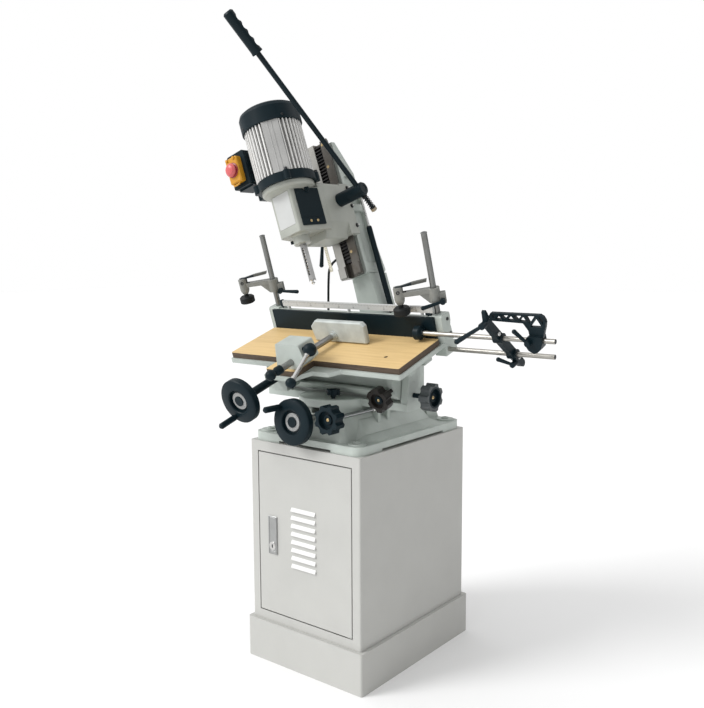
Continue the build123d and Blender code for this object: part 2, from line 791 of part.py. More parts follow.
# Saddle with two cheeks for the tilting cradle
saddle_bottom = PLATEAU_Z + SLIDE_GAP
with BuildPart() as saddle:
    with BuildSketch(level(WORLD, saddle_bottom)):
        with Locations((0, (SADDLE_NOSE_Y + SADDLE_BACK) / 2)):
            Rectangle(2 * SADDLE_HALF_WIDTH, SADDLE_BACK - SADDLE_NOSE_Y)
        with Locations((0, SADDLE_NOSE_Y)):
            Circle(SADDLE_HALF_WIDTH)
    extrude(amount=SADDLE_TOP - saddle_bottom)
    fillet(saddle.edges().group_by(Axis.Z)[-1], 4)
    block(
        WORLD,
        (-CHEEK_OUTSIDE, CHEEK_OUTSIDE),
        (TILT_Y - ARM_HALF_DEPTH, TILT_Y + ARM_HALF_DEPTH),
        (ARM_BOTTOM, SADDLE_TOP - 2),
    )
    for cheek_side in (-1, 1):
        cheek = side(at(WORLD, cheek_side * (CHEEK_INSIDE + CHEEK_OUTSIDE) / 2, TILT_Y, TILT_Z))
        half = (CHEEK_OUTSIDE - CHEEK_INSIDE) / 2
        with BuildSketch(cheek):
            Circle(CHEEK_RADIUS)
            Polygon(
                (-CHEEK_RADIUS, 0),
                (CHEEK_RADIUS, 0),
                (ARM_HALF_DEPTH, ARM_BOTTOM - TILT_Z),
                (-ARM_HALF_DEPTH, ARM_BOTTOM - TILT_Z),
                align=None,
            )
        extrude(amount=half, both=True)
        rod(at(cheek, z=-half), TILT_PIN_RADIUS + RUNNING_FIT, 2 * half, mode=Mode.SUBTRACT)
    stud_hole = side(at(WORLD, CHEEK_INSIDE, TILT_Y, TILT_Z - TILT_SLOT_RADIUS))
    rod(stud_hole, TILT_STUD_RADIUS + RUNNING_FIT, CHEEK_OUTSIDE - CHEEK_INSIDE, mode=Mode.SUBTRACT)
    bed_bottom = BED_HALF_WIDTH + LOOSE_GAP
    bed_roof = BED_HEIGHT + LOOSE_GAP
    prism(
        front(WORLD, SADDLE_BACK),
        [
            (-bed_bottom, PLATEAU_Z),
            (bed_bottom, PLATEAU_Z),
            (bed_bottom + bed_roof * BED_SLOPE, PLATEAU_Z + bed_roof),
            (-bed_bottom - bed_roof * BED_SLOPE, PLATEAU_Z + bed_roof),
        ],
        SADDLE_BACK - SADDLE_NOSE_Y + SADDLE_HALF_WIDTH,
        mode=Mode.SUBTRACT,
    )
    nut_half = TROUGH_HALF_WIDTH - LOOSE_GAP
    block(WORLD, (-nut_half, nut_half), (-25, 15), (PLATEAU_Z - TROUGH_DEPTH + 2, PLATEAU_Z + bed_roof))
    rod(front(at(WORLD, 0, 15, SCREW_Z)), SCREW_RADIUS + LOOSE_GAP, 40, mode=Mode.SUBTRACT)
    saddle_lock = at(WORLD, 40, SADDLE_NOSE_Y - 52, SADDLE_TOP)
    rod(at(saddle_lock, z=-12), STUD_RADIUS + RUNNING_FIT, 12, mode=Mode.SUBTRACT)
saddle.part.label = "saddle"
export_step(saddle.part, "parts/saddle.step")

with BuildPart() as saddle_lock_knob:
    lobed_knob(at(saddle_lock, z=10), 17, 14, 5, STUD_RADIUS, 20)
saddle_lock_knob.part.label = "saddle_lock_knob"
export_step(saddle_lock_knob.part, "parts/saddle_lock_knob.step")

with BuildPart() as tilt_lock_knob:
    tilt_knob = side(at(WORLD, TILT_KNOB_X, TILT_Y, TILT_Z - TILT_SLOT_RADIUS))
    lobed_knob(tilt_knob, 35, 26, 7, TILT_STUD_RADIUS, TILT_KNOB_X - TRUNNION_INSIDE + 4)
tilt_lock_knob.part.label = "tilt_lock_knob"
export_step(tilt_lock_knob.part, "parts/tilt_lock_knob.step")

front_wheel = front(at(WORLD, 0, FRONT_WHEEL_Y, SCREW_Z))
with BuildPart() as front_handwheel:
    handwheel(front_wheel, 135)
    rod(front(at(WORLD, 0, SCREW_BACK, SCREW_Z)), SCREW_RADIUS, SCREW_BACK - FRONT_WHEEL_Y + 9)
front_handwheel.part.label = "front_handwheel"
export_step(front_handwheel.part, "parts/front_handwheel.step")

with BuildPart() as column_lock:
    knob_frame = front(at(WORLD, LOCK_ROD_X, LOCK_KNOB_Y, LOCK_ROD_Z))
    lobed_knob(knob_frame, 37, 30, 8, LOCK_ROD_RADIUS, UPRIGHT_FRONT - LOCK_KNOB_Y + 20)
    rod(front(at(WORLD, LOCK_ROD_X, -34, LOCK_ROD_Z)), LOCK_COLLAR_RADIUS, 26)
column_lock.part.label = "column_lock"
export_step(column_lock.part, "parts/column_lock.step")

# Cradle that tilts between the cheeks
side_wheel = front(at(CRADLE, SIDE_WHEEL_X, SIDE_WHEEL_Y, SIDE_WHEEL_Z))
with BuildPart() as cradle:
    block(
        CRADLE,
        (-TRUNNION_INSIDE, TRUNNION_INSIDE),
        (-BEAM_HALF_DEPTH, BEAM_HALF_DEPTH),
        (BEAM_BOTTOM, BEAM_TOP),
    )
    cross_top_half = CROSS_HALF_WIDTH + CROSS_HEIGHT * WAY_SLOPE
    prism(
        side(CRADLE, -TRUNNION_OUTSIDE),
        [
            (-CROSS_HALF_WIDTH, BEAM_TOP),
            (CROSS_HALF_WIDTH, BEAM_TOP),
            (cross_top_half, BEAM_TOP + CROSS_HEIGHT),
            (-cross_top_half, BEAM_TOP + CROSS_HEIGHT),
        ],
        2 * TRUNNION_OUTSIDE,
    )
    slot_start = 270 - TABLE_TILT - TILT_EXTRA - TILT_SLOT_END
    for plate_start in (-TRUNNION_OUTSIDE, TRUNNION_INSIDE):
        plate = side(CRADLE, plate_start)
        thickness = TRUNNION_OUTSIDE - TRUNNION_INSIDE
        with BuildSketch(plate):
            Circle(TRUNNION_RADIUS)
            with Locations((0, TRUNNION_RADIUS)):
                Rectangle(2 * TRUNNION_RADIUS, 2 * (TRUNNION_RADIUS - BEAM_TOP), mode=Mode.SUBTRACT)
        extrude(amount=thickness)
        with BuildSketch(plate):
            with BuildLine():
                CenterArc((0, 0), TILT_SLOT_RADIUS, slot_start, TABLE_TILT + TILT_EXTRA + 2 * TILT_SLOT_END)
            trace(line_width=2 * TILT_STUD_RADIUS + 1)
        extrude(amount=thickness, mode=Mode.SUBTRACT)
    pin_length = CHEEK_OUTSIDE - TRUNNION_OUTSIDE
    rod(side(CRADLE, TRUNNION_OUTSIDE), TILT_PIN_RADIUS, pin_length)
    rod(side(CRADLE, -CHEEK_OUTSIDE), TILT_PIN_RADIUS, pin_length)
    shelf_top = SIDE_WHEEL_Z - 24
    block(CRADLE, (SIDE_WHEEL_X - 24, SIDE_WHEEL_X + 24), (-104, -BEAM_HALF_DEPTH), (BEAM_BOTTOM, shelf_top))
    block(CRADLE, (SIDE_WHEEL_X - 22, SIDE_WHEEL_X + 22), (-104, -80), (BEAM_BOTTOM, SIDE_WHEEL_Z + 16))
    rod(at(side_wheel, z=SIDE_WHEEL_Y), SCREW_RADIUS + RUNNING_FIT, 120, mode=Mode.SUBTRACT)
    table_lock = front(at(CRADLE, TABLE_LOCK_X, TABLE_LOCK_Y, TABLE_LOCK_Z))
    rod(at(table_lock, z=TABLE_LOCK_Y + 45), STUD_RADIUS + RUNNING_FIT, 30, mode=Mode.SUBTRACT)
cradle.part.label = "cradle"
export_step(cradle.part, "parts/cradle.step")

with BuildPart() as table_lock_knob:
    lobed_knob(table_lock, 31, 24, 6, STUD_RADIUS, 52)
table_lock_knob.part.label = "table_lock_knob"
export_step(table_lock_knob.part, "parts/table_lock_knob.step")

with BuildPart() as side_handwheel:
    handwheel(side_wheel, 243)
    rod(at(side_wheel, z=SIDE_WHEEL_Y + 106), SCREW_RADIUS + 3, -SIDE_WHEEL_Y - 114)
    rod(at(side_wheel, z=SIDE_WHEEL_Y + 12), SCREW_RADIUS, 9 - SIDE_WHEEL_Y - 12)
    pinion_plane = front(at(CRADLE, SIDE_WHEEL_X, PINION_BACK, SIDE_WHEEL_Z))
    pinion(pinion_plane, CROSS_MODULE, CROSS_TEETH, PINION_BACK - PINION_FRONT, pi / 2)
side_handwheel.part.label = "side_handwheel"
export_step(side_handwheel.part, "parts/side_handwheel.step")

# Table
plate_top = -WOOD_THICKNESS
plate_bottom = plate_top - PLATE_THICKNESS
plate_x = TABLE_HALF_WIDTH + PLATE_OVERHANG
tongue_front = -TONGUE_REACH - 5
with BuildPart() as table_casting:
    prism(
        level(TABLE, plate_bottom),
        [
            (-plate_x, -6),
            (TONGUE_LEFT - 30, -6),
            (TONGUE_LEFT - 10, -40),
            (TONGUE_LEFT - 10, tongue_front),
            (TONGUE_RIGHT - 15, tongue_front),
            (TONGUE_RIGHT + 15, -30),
            (82, -30),
            (104, -6),
            (plate_x, -6),
            (plate_x, PLATE_BACK),
            (-plate_x, PLATE_BACK),
        ],
        PLATE_THICKNESS,
        corner=5,
    )
    casting_z = plate_bottom + AXIS_BELOW
    rail_bottom = BEAM_TOP + SLIDE_GAP
    rail_inside = CROSS_HALF_WIDTH + LOOSE_GAP + SLIDE_GAP * WAY_SLOPE
    for rail in (-1, 1):
        prism(
            side(CRADLE, -plate_x + 20),
            [
                (rail * rail_inside, rail_bottom),
                (rail * 50, rail_bottom),
                (rail * 50, casting_z),
                (rail * (rail_inside + (casting_z - rail_bottom) * WAY_SLOPE), casting_z),
            ],
            2 * plate_x - 40,
        )
    rack_pitch_z = SIDE_WHEEL_Z + CROSS_MODULE * CROSS_TEETH / 2
    rack_left = SIDE_WHEEL_X - RACK_LEFT_REACH
    rack_right = SIDE_WHEEL_X + RACK_RIGHT_REACH
    cross_rack = rack_profile(CROSS_MODULE, rack_pitch_z, casting_z, rack_left, rack_right, SIDE_WHEEL_X)
    prism(front(CRADLE, PINION_BACK), cross_rack, PINION_BACK - PINION_FRONT)
    guide_depth = (GUIDE_ROD_Y - 15, PLATE_BACK + 8)
    block(TABLE, (GUIDE_BLOCK_LEFT, plate_x), guide_depth, (GUIDE_ROD_Z - 14, plate_bottom))
    guide_bore = side(at(TABLE, GUIDE_BLOCK_LEFT, GUIDE_ROD_Y, GUIDE_ROD_Z))
    rod(guide_bore, STOP_ROD_RADIUS + RUNNING_FIT, plate_x - GUIDE_BLOCK_LEFT, mode=Mode.SUBTRACT)
table_casting.part.label = "table_casting"
export_step(table_casting.part, "parts/table_casting.step")

with BuildPart() as table_top:
    wood_back = FENCE_Y - LOOSE_GAP
    prism(
        level(TABLE, plate_top),
        [
            (-TABLE_HALF_WIDTH, 0),
            (TONGUE_LEFT, 0),
            (TONGUE_LEFT, -TONGUE_REACH),
            (TONGUE_RIGHT, -TONGUE_REACH),
            (TONGUE_RIGHT, 0),
            (TABLE_HALF_WIDTH, 0),
            (TABLE_HALF_WIDTH, wood_back),
            (-TABLE_HALF_WIDTH, wood_back),
        ],
        WOOD_THICKNESS,
        corner=3,
    )
    rod(at(TABLE, 204, 56, -4), 5, 4, mode=Mode.SUBTRACT)
table_top.part.label = "table_top"
export_step(table_top.part, "parts/table_top.step")

with BuildPart() as fence_casting:
    fence_back = FENCE_Y + FENCE_FACE
    fence_x = (-FENCE_HALF_WIDTH, FENCE_HALF_WIDTH)
    block(TABLE, fence_x, (fence_back, PLATE_BACK - 8), (plate_top, plate_top + 12))
    block(TABLE, fence_x, (fence_back, fence_back + 10), (plate_top, FENCE_HEIGHT))
    for end in (-1, 1):
        inside, outside = sorted((end * FENCE_HALF_WIDTH, end * BRACKET_OUTSIDE))
        bracket_back = PLATE_BACK - 12
        with BuildSketch(side(TABLE, inside)) as bracket:
            Polygon(
                (fence_back, plate_top),
                (bracket_back, plate_top),
                (bracket_back - 6, BRACKET_TOP - 34),
                (bracket_back - 2, BRACKET_TOP - 24),
                (bracket_back - 2, BRACKET_TOP),
                (fence_back, BRACKET_TOP),
                align=None,
            )
            fillet(bracket.vertices().sort_by(Axis.Y)[-2:], 7)
        extrude(bracket.sketch, amount=outside - inside)
        rod(at(TABLE, end * POST_X, POST_Y, -6), POST_RADIUS + RUNNING_FIT, 80, mode=Mode.SUBTRACT)
fence_casting.part.label = "fence_casting"
export_step(fence_casting.part, "parts/fence_casting.step")

with BuildPart() as fence_face:
    face_x = BRACKET_OUTSIDE - 20
    block(TABLE, (-face_x, face_x), (FENCE_Y, fence_back), (plate_top, FENCE_HEIGHT))
fence_face.part.label = "fence_face"
export_step(fence_face.part, "parts/fence_face.step")

with BuildPart() as scale_bar:
    block(TABLE, (SCALE_LEFT, SCALE_RIGHT), (fence_back + 1, fence_back + 9), (SCALE_BOTTOM, SCALE_TOP))
    for leg_x in (SCALE_LEFT + 20, 0, SCALE_RIGHT - 36):
        rod(at(TABLE, leg_x, fence_back + 5, FENCE_HEIGHT), 4, SCALE_BOTTOM - FENCE_HEIGHT)
scale_bar.part.label = "scale_bar"
export_step(scale_bar.part, "parts/scale_bar.step")

with BuildPart() as posts:
    for end in (-1, 1):
        turned(
            at(TABLE, end * POST_X, POST_Y, -6),
            [
                (0, 0),
                (POST_RADIUS, 0),
                (POST_RADIUS, POST_TOP + 3),
                (POST_RADIUS + 0.8, POST_TOP + 3.5),
                (POST_RADIUS + 0.8, POST_TOP + 5),
                (POST_RADIUS - 1, POST_TOP + 6),
                (0, POST_TOP + 6),
            ],
        )
posts.part.label = "posts"
export_step(posts.part, "parts/posts.step")

with BuildPart() as vise_block:
    prism(
        front(TABLE, BLOCK_BACK),
        [(-54, 0), (12, 0), (46, 24), (34, BLOCK_HEIGHT), (-42, BLOCK_HEIGHT)],
        BLOCK_BACK - BLOCK_FRONT,
        corner=5,
    )
    rod(front(at(TABLE, 0, BLOCK_BACK, VISE_ROD_Z)), VISE_ROD_RADIUS + RUNNING_FIT, 80, mode=Mode.SUBTRACT)
    lever_bore = side(at(TABLE, 0, VISE_LEVER_Y, VISE_LEVER_Z))
    rod(lever_bore, VISE_SHAFT_RADIUS + RUNNING_FIT, VISE_LEVER_X, mode=Mode.SUBTRACT)
vise_block.part.label = "vise_block"
export_step(vise_block.part, "parts/vise_block.step")

with BuildPart() as vise_jaw:
    prism(
        front(TABLE, JAW_BACK),
        [
            (JAW_LEFT + JAW_CUT / 2, JAW_BOTTOM),
            (JAW_RIGHT, JAW_BOTTOM),
            (JAW_RIGHT, JAW_TOP - JAW_CUT / 2),
            (JAW_RIGHT - JAW_CUT / 2, JAW_TOP),
            (JAW_LEFT + JAW_CUT, JAW_TOP),
            (JAW_LEFT, JAW_TOP - JAW_CUT),
        ],
        JAW_BACK - JAW_FRONT,
        corner=3,
    )
    jaw_axis = Axis(TABLE.origin, TABLE.y_dir)
    jaw_face = vise_jaw.faces().filter_by(jaw_axis).sort_by(jaw_axis)[0]
    chamfer(jaw_face.edges(), JAW_BEVEL)
    rod(front(at(TABLE, 0, JAW_FRONT, VISE_ROD_Z)), VISE_ROD_RADIUS + 4, 4)
    rod(front(at(TABLE, 0, JAW_FRONT, VISE_ROD_Z)), VISE_ROD_RADIUS, JAW_FRONT - VISE_ROD_FRONT)
    grip = front(at(TABLE, 0, VISE_ROD_FRONT, VISE_ROD_Z))
    turned(grip, [(0, 0), (11.5, 0), (11.5, 14), (8, 22), (8, 30), (0, 30)])
    ball(at(grip, z=36), VISE_BALL_RADIUS)
vise_jaw.part.label = "vise_jaw"
export_step(vise_jaw.part, "parts/vise_jaw.step")

with BuildPart() as vise_lever:
    lever_hub = at(TABLE, VISE_LEVER_X, VISE_LEVER_Y, VISE_LEVER_Z)
    ball(lever_hub, 17)
    taper_bar(lever_hub, (0, 0, 0), (0, -89, -48), 5.5, 5.5)
    ball(at(lever_hub, 0, -89, -48), 13)
    rod(side(at(lever_hub, -VISE_LEVER_X + 4)), VISE_SHAFT_RADIUS, VISE_LEVER_X - 4)
vise_lever.part.label = "vise_lever"
export_step(vise_lever.part, "parts/vise_lever.step")

# Hold-downs on the two posts
arm_frames = {
    "left": turned_to(at(TABLE, -POST_X, POST_Y, LEFT_ARM_Z), 180 + ARM_TURN),
    "right": turned_to(at(TABLE, POST_X, POST_Y, RIGHT_ARM_Z), 180 + ARM_TURN),
}
lever_turn = {"left": 172, "right": 8}
for hand, arm in arm_frames.items():
    with BuildPart() as hold_down_arm:
        rod(at(arm, z=-COLLAR_HALF_HEIGHT), COLLAR_RADIUS, 2 * COLLAR_HALF_HEIGHT)
        prism(level(arm, 6), [(8, -11), (ARM_REACH, -8), (ARM_REACH, 8), (8, 11)], 12)
        prism(front(arm, 9), [(8, 7), (36, 7), (13, -COLLAR_HALF_HEIGHT), (8, -COLLAR_HALF_HEIGHT)], 18)
        turned(
            at(arm, ARM_REACH),
            [
                (0, -13),
                (FORK_RADIUS - 5, -13),
                (FORK_RADIUS - 1, -6),
                (FORK_RADIUS, 0),
                (FORK_RADIUS, CAM_Z + 11),
                (0, CAM_Z + 11),
            ],
        )
        block(arm, (-27, -8), (-9, 9), (-COLLAR_HALF_HEIGHT - 6, 4))
        block(arm, (-28, 0), (-1.5, 1.5), (-30, 20), mode=Mode.SUBTRACT)
        rod(at(arm, z=-30), POST_RADIUS + RUNNING_FIT, 60, mode=Mode.SUBTRACT)
        block(arm, (ARM_REACH - 20, ARM_REACH + 20), (-6, 6), (9, 40), mode=Mode.SUBTRACT)
        rod(at(arm, ARM_REACH, 0, -20), PLUNGER_RADIUS + RUNNING_FIT, 40, mode=Mode.SUBTRACT)
        rod(front(at(arm, ARM_REACH, 12.5, CAM_Z)), CAM_PIN_RADIUS, 25)
    hold_down_arm.part.label = hand + "_hold_down_arm"
    export_step(hold_down_arm.part, "parts/" + hand + "_hold_down_arm.step")

    with BuildPart() as cam_lever:
        cam = front(at(arm, ARM_REACH, 5.5, CAM_Z))
        rod(at(cam, 0, -CAM_THROW), CAM_RADIUS, 11)
        prism(cam, [(0, 9.5), (-40, 12), (-73, 15), (-75, 22), (-40, 19), (0, 9.5 + CAM_THROW)], 11)
        block(arm, (ARM_REACH - 6, ARM_REACH + 6), (-5.5, 5.5), (CAM_Z, CAM_Z + 12))
        rod(cam, CAM_PIN_RADIUS + RUNNING_FIT, 11, mode=Mode.SUBTRACT)
    cam_lever.part.label = hand + "_cam_lever"
    export_step(cam_lever.part, "parts/" + hand + "_cam_lever.step")

    with BuildPart() as pad:
        turned(
            at(arm, ARM_REACH),
            [
                (0, -40),
                (PAD_RADIUS - 2, -40),
                (PAD_RADIUS, -38),
                (PAD_RADIUS, -24),
                (PAD_RADIUS - 4, -20),
                (PLUNGER_RADIUS, -20),
                (PLUNGER_RADIUS, CAM_Z - CAM_THROW - CAM_RADIUS - 1),
                (0, CAM_Z - CAM_THROW - CAM_RADIUS - 1),
            ],
        )
    pad.part.label = hand + "_pad"
    export_step(pad.part, "parts/" + hand + "_pad.step")

    with BuildPart() as lock_lever:
        lock_origin = arm.from_local_coords((-19, 9.5, -COLLAR_HALF_HEIGHT + 2))
        lock_axis = turned_to(Plane(origin=lock_origin, x_dir=arm.x_dir, z_dir=arm.y_dir), lever_turn[hand])
        clamp_lever(lock_axis, 50, 8, hub_radius=7, hub_height=14)
    lock_lever.part.label = hand + "_lock_lever"
    export_step(lock_lever.part, "parts/" + hand + "_lock_lever.step")

# Length stop
with BuildPart() as stop_guide_rod:
    guide = side(at(TABLE, GUIDE_ROD_LEFT, GUIDE_ROD_Y, GUIDE_ROD_Z))
    rod(guide, STOP_ROD_RADIUS, GUIDE_ROD_RIGHT - GUIDE_ROD_LEFT)
stop_guide_rod.part.label = "stop_guide_rod"
export_step(stop_guide_rod.part, "parts/stop_guide_rod.step")

link_rise = STOP_ROD_Z - GUIDE_ROD_Z
link_run = STOP_ROD_Y - GUIDE_ROD_Y
link_span = (link_rise**2 + link_run**2) ** 0.5
link_left = LINK_X - LINK_THICKNESS / 2
horn_y = STOP_ROD_Y + HORN_RUN
horn_z = STOP_ROD_Z + HORN_RISE
lower_lever_y = GUIDE_ROD_Y - LOWER_LEVER_ALONG * link_run / link_span
lower_lever_z = GUIDE_ROD_Z - LOWER_LEVER_ALONG * link_rise / link_span
lower_seat_y = lower_lever_y - 2 * LINK_HALF_WIDTH
with BuildPart() as stop_link:
    with BuildSketch(side(TABLE, link_left)):
        with Locations((GUIDE_ROD_Y, GUIDE_ROD_Z), (STOP_ROD_Y, STOP_ROD_Z)):
            Circle(LINK_HALF_WIDTH)
        tail = (
            GUIDE_ROD_Y - LINK_TAIL * link_run / link_span,
            GUIDE_ROD_Z - LINK_TAIL * link_rise / link_span,
        )
        with Locations(tail, (horn_y, horn_z)):
            Circle(HORN_RADIUS)
        make_hull()
    extrude(amount=LINK_THICKNESS)
    prism(
        side(TABLE, link_left + 2),
        [
            (horn_y - HORN_RADIUS, horn_z),
            (horn_y + HORN_RADIUS, horn_z),
            (horn_y + 5, horn_z + SPIKE_RISE / 2),
            (horn_y - 3, horn_z + SPIKE_RISE),
            (horn_y - 8, horn_z + SPIKE_RISE - 3),
        ],
        LINK_THICKNESS - 4,
    )
    rod(front(at(TABLE, LINK_X, lower_lever_y, lower_lever_z)), LINK_THICKNESS / 2, 2 * LINK_HALF_WIDTH)
    for eye_y, eye_z in ((GUIDE_ROD_Y, GUIDE_ROD_Z), (STOP_ROD_Y, STOP_ROD_Z)):
        eye = side(at(TABLE, link_left - 5, eye_y, eye_z))
        rod(eye, LINK_EYE_RADIUS, LINK_THICKNESS + 10)
        rod(eye, STOP_ROD_RADIUS + RUNNING_FIT, LINK_THICKNESS + 10, mode=Mode.SUBTRACT)
stop_link.part.label = "stop_link"
export_step(stop_link.part, "parts/stop_link.step")

with BuildPart() as upper_link_lever:
    upper_axis = turned_to(front(at(TABLE, LINK_X, horn_y - HORN_RADIUS - 0.5, horn_z)), 210)
    clamp_lever(upper_axis, 84, 4)
upper_link_lever.part.label = "upper_link_lever"
export_step(upper_link_lever.part, "parts/upper_link_lever.step")

with BuildPart() as lower_link_lever:
    lower_axis = turned_to(front(at(TABLE, LINK_X, lower_seat_y - 0.5, lower_lever_z)), 162)
    clamp_lever(lower_axis, 38, 2, hub_radius=7, hub_height=11)
lower_link_lever.part.label = "lower_link_lever"
export_step(lower_link_lever.part, "parts/lower_link_lever.step")

with BuildPart() as stop_rod:
    stop_axis = side(at(TABLE, STOP_ROD_LEFT, STOP_ROD_Y, STOP_ROD_Z))
    rod(stop_axis, STOP_ROD_RADIUS, STOP_ROD_RIGHT - STOP_ROD_LEFT)
    turned(
        stop_axis,
        [(0, -24), (16, -24), (18, -22), (18, -8), (15, -5), (10, -3), (10, 0), (0, 0)],
    )
stop_rod.part.label = "stop_rod"
export_step(stop_rod.part, "parts/stop_rod.step")

with BuildPart() as flip_stop:
    flip_plane = front(at(TABLE, FLIP_X, STOP_ROD_Y + 5, STOP_ROD_Z))
    prism(
        flip_plane,
        [
            (-7, 6),
            (24, 6),
            (33.5, 34.5),
            (36, 46),
            (35, 52),
            (31, 59.5),
            (24, 64),
            (-100, 64),
            (-106, 54),
            (-100, 44.5),
            (-20, 42),
            (-9, 25),
        ],
        10,
        corner=2,
    )
    windows = (
        ((-97, 59), (-90, 59), (-94, 51)),
        ((-88, 49), (-70.5, 48.5), (-79, 58)),
        ((-74.5, 59.5), (-54.5, 59.8), (-65.5, 50)),
        ((-58.5, 48.2), (-39, 47.7), (-48, 59)),
        ((-42, 60), (-21.5, 60.2), (-33, 49)),
        ((-28, 47), (-9.5, 45.5), (-17.5, 59)),
        ((-12, 60.3), (10.5, 60.5), (-3.5, 42)),
        ((-2.5, 34.5), (26, 34.5), (14.5, 55.5)),
        ((19.5, 60), (24.5, 59.5), (30.5, 51), (29.5, 41)),
    )
    for window in windows:
        prism(flip_plane, window, 10, mode=Mode.SUBTRACT)
    prism(
        front(at(TABLE, FLIP_X, STOP_ROD_Y + FLIP_HUB_HALF_DEPTH, STOP_ROD_Z)),
        [(-16, 4), (-10, 13), (24, 13), (25, -4), (20, -16), (11, -25), (2, -28), (-11, -21), (-18, -8)],
        2 * FLIP_HUB_HALF_DEPTH,
        corner=2,
    )
    hub = side(at(TABLE, FLIP_X - 20, STOP_ROD_Y, STOP_ROD_Z))
    rod(hub, STOP_ROD_RADIUS + RUNNING_FIT, 50, mode=Mode.SUBTRACT)
flip_stop.part.label = "flip_stop"
export_step(flip_stop.part, "parts/flip_stop.step")

with BuildPart() as flip_lever:
    flip_seat_y = STOP_ROD_Y - FLIP_HUB_HALF_DEPTH - 0.5
    flip_axis = turned_to(front(at(TABLE, FLIP_LEVER_X, flip_seat_y, STOP_ROD_Z)), 133)
    clamp_lever(flip_axis, 40, 4, hub_radius=7, hub_height=12)
flip_lever.part.label = "flip_lever"
export_step(flip_lever.part, "parts/flip_lever.step")

# Column
way_depth = COLUMN_FRONT - WAY_FRONT
way_root = WAY_HALF_WIDTH - way_depth * WAY_SLOPE
with BuildPart() as column:
    prism(
        side(COLUMN, -COLUMN_HALF_WIDTH),
        [
            (COLUMN_FRONT, NECK_TOP),
            (COLUMN_FRONT, COLUMN_TOP),
            (COLUMN_BACK_TOP, COLUMN_TOP),
            (COLUMN_BACK_HIGH, COLUMN_TOP - 90),
            (COLUMN_BACK_HIGH, FEED_AXIS_W),
            (COLUMN_BACK_LOW, NECK_TOP),
        ],
        2 * COLUMN_HALF_WIDTH,
    )
    back_edges = [edge for edge in column.edges() if edge.center().Y > COLUMN_FRONT + 25]
    fillet(back_edges, 10)
    pockets = ((NECK_TOP + 30, FEED_AXIS_W - 20), (FEED_AXIS_W, COLUMN_TOP - 100))
    for face in (-COLUMN_HALF_WIDTH, COLUMN_HALF_WIDTH - POCKET_DEPTH):
        for pocket_bottom, pocket_top in pockets:
            prism(
                side(COLUMN, face),
                [
                    (COLUMN_FRONT + 14, pocket_bottom),
                    (COLUMN_BACK_HIGH - 10, pocket_bottom),
                    (COLUMN_BACK_HIGH - 10, pocket_top),
                    (COLUMN_FRONT + 14, pocket_top),
                ],
                POCKET_DEPTH,
                corner=8,
                mode=Mode.SUBTRACT,
            )
    prism(
        level(COLUMN, WAY_BOTTOM),
        [
            (-WAY_HALF_WIDTH, WAY_FRONT),
            (WAY_HALF_WIDTH, WAY_FRONT),
            (way_root, COLUMN_FRONT),
            (-way_root, COLUMN_FRONT),
        ],
        WAY_TOP - WAY_BOTTOM,
    )
    block(
        COLUMN,
        (-RACK_GROOVE_HALF_WIDTH, RACK_GROOVE_HALF_WIDTH),
        (WAY_FRONT, RACK_BACK),
        (WAY_BOTTOM, WAY_TOP),
        mode=Mode.SUBTRACT,
    )
    for stop_x in (-WAY_HALF_WIDTH + 2, RACK_GROOVE_HALF_WIDTH + 1):
        block(
            COLUMN,
            (stop_x, stop_x + WAY_HALF_WIDTH - RACK_GROOVE_HALF_WIDTH - 3),
            (WAY_FRONT - WAY_STOP_DEPTH, WAY_FRONT),
            (WAY_BOTTOM + 3, WAY_BOTTOM + WAY_STOP_HEIGHT),
        )
    prism(
        front(COLUMN, DISC_BACK),
        [
            (-NECK_FOOT_HALF_WIDTH, 0),
            (NECK_FOOT_HALF_WIDTH, 0),
            (NECK_FOOT_HALF_WIDTH, NECK_BACK_BOTTOM),
            (NECK_HALF_WIDTH, NECK_TOP),
            (-NECK_HALF_WIDTH, NECK_TOP),
            (-NECK_FOOT_HALF_WIDTH, NECK_BACK_BOTTOM),
        ],
        DISC_BACK - DISC_FRONT,
    )
    prism(
        side(COLUMN, -NECK_HALF_WIDTH + 3),
        [
            (DISC_BACK - 5, NECK_BACK_BOTTOM),
            (COLUMN_BACK_LOW - 12, NECK_BACK_BOTTOM),
            (COLUMN_BACK_LOW, NECK_BACK_BOTTOM + 20),
            (COLUMN_BACK_LOW, NECK_TOP),
            (DISC_BACK - 5, NECK_TOP),
        ],
        2 * NECK_HALF_WIDTH - 6,
    )
    pivot = front(at(COLUMN, 0, DISC_BACK, 0))
    rod(pivot, DISC_RADIUS, DISC_BACK - DISC_FRONT)
    rod(front(at(COLUMN, 0, UPRIGHT_BACK - 2, 0)), PIVOT_RADIUS, UPRIGHT_BACK - DISC_FRONT - 2)
    block(
        COLUMN,
        (NECK_HALF_WIDTH - 5, STRUT_U + 8),
        (STRUT_V - 8, STRUT_V + 8),
        (STRUT_TUBE_BOTTOM - 14, STRUT_TUBE_BOTTOM),
    )
column.part.label = "column"
export_step(column.part, "parts/column.step")

pitch_plane = FEED_AXIS_V + FEED_MODULE * FEED_TEETH / 2
with BuildPart() as feed_rack:
    profile = rack_profile(FEED_MODULE, pitch_plane, RACK_BACK, RACK_BOTTOM, RACK_TOP, FEED_AXIS_W)
    prism(side(COLUMN, -RACK_HALF_WIDTH), [(depth, along) for along, depth in profile], 2 * RACK_HALF_WIDTH)
feed_rack.part.label = "feed_rack"
export_step(feed_rack.part, "parts/feed_rack.step")

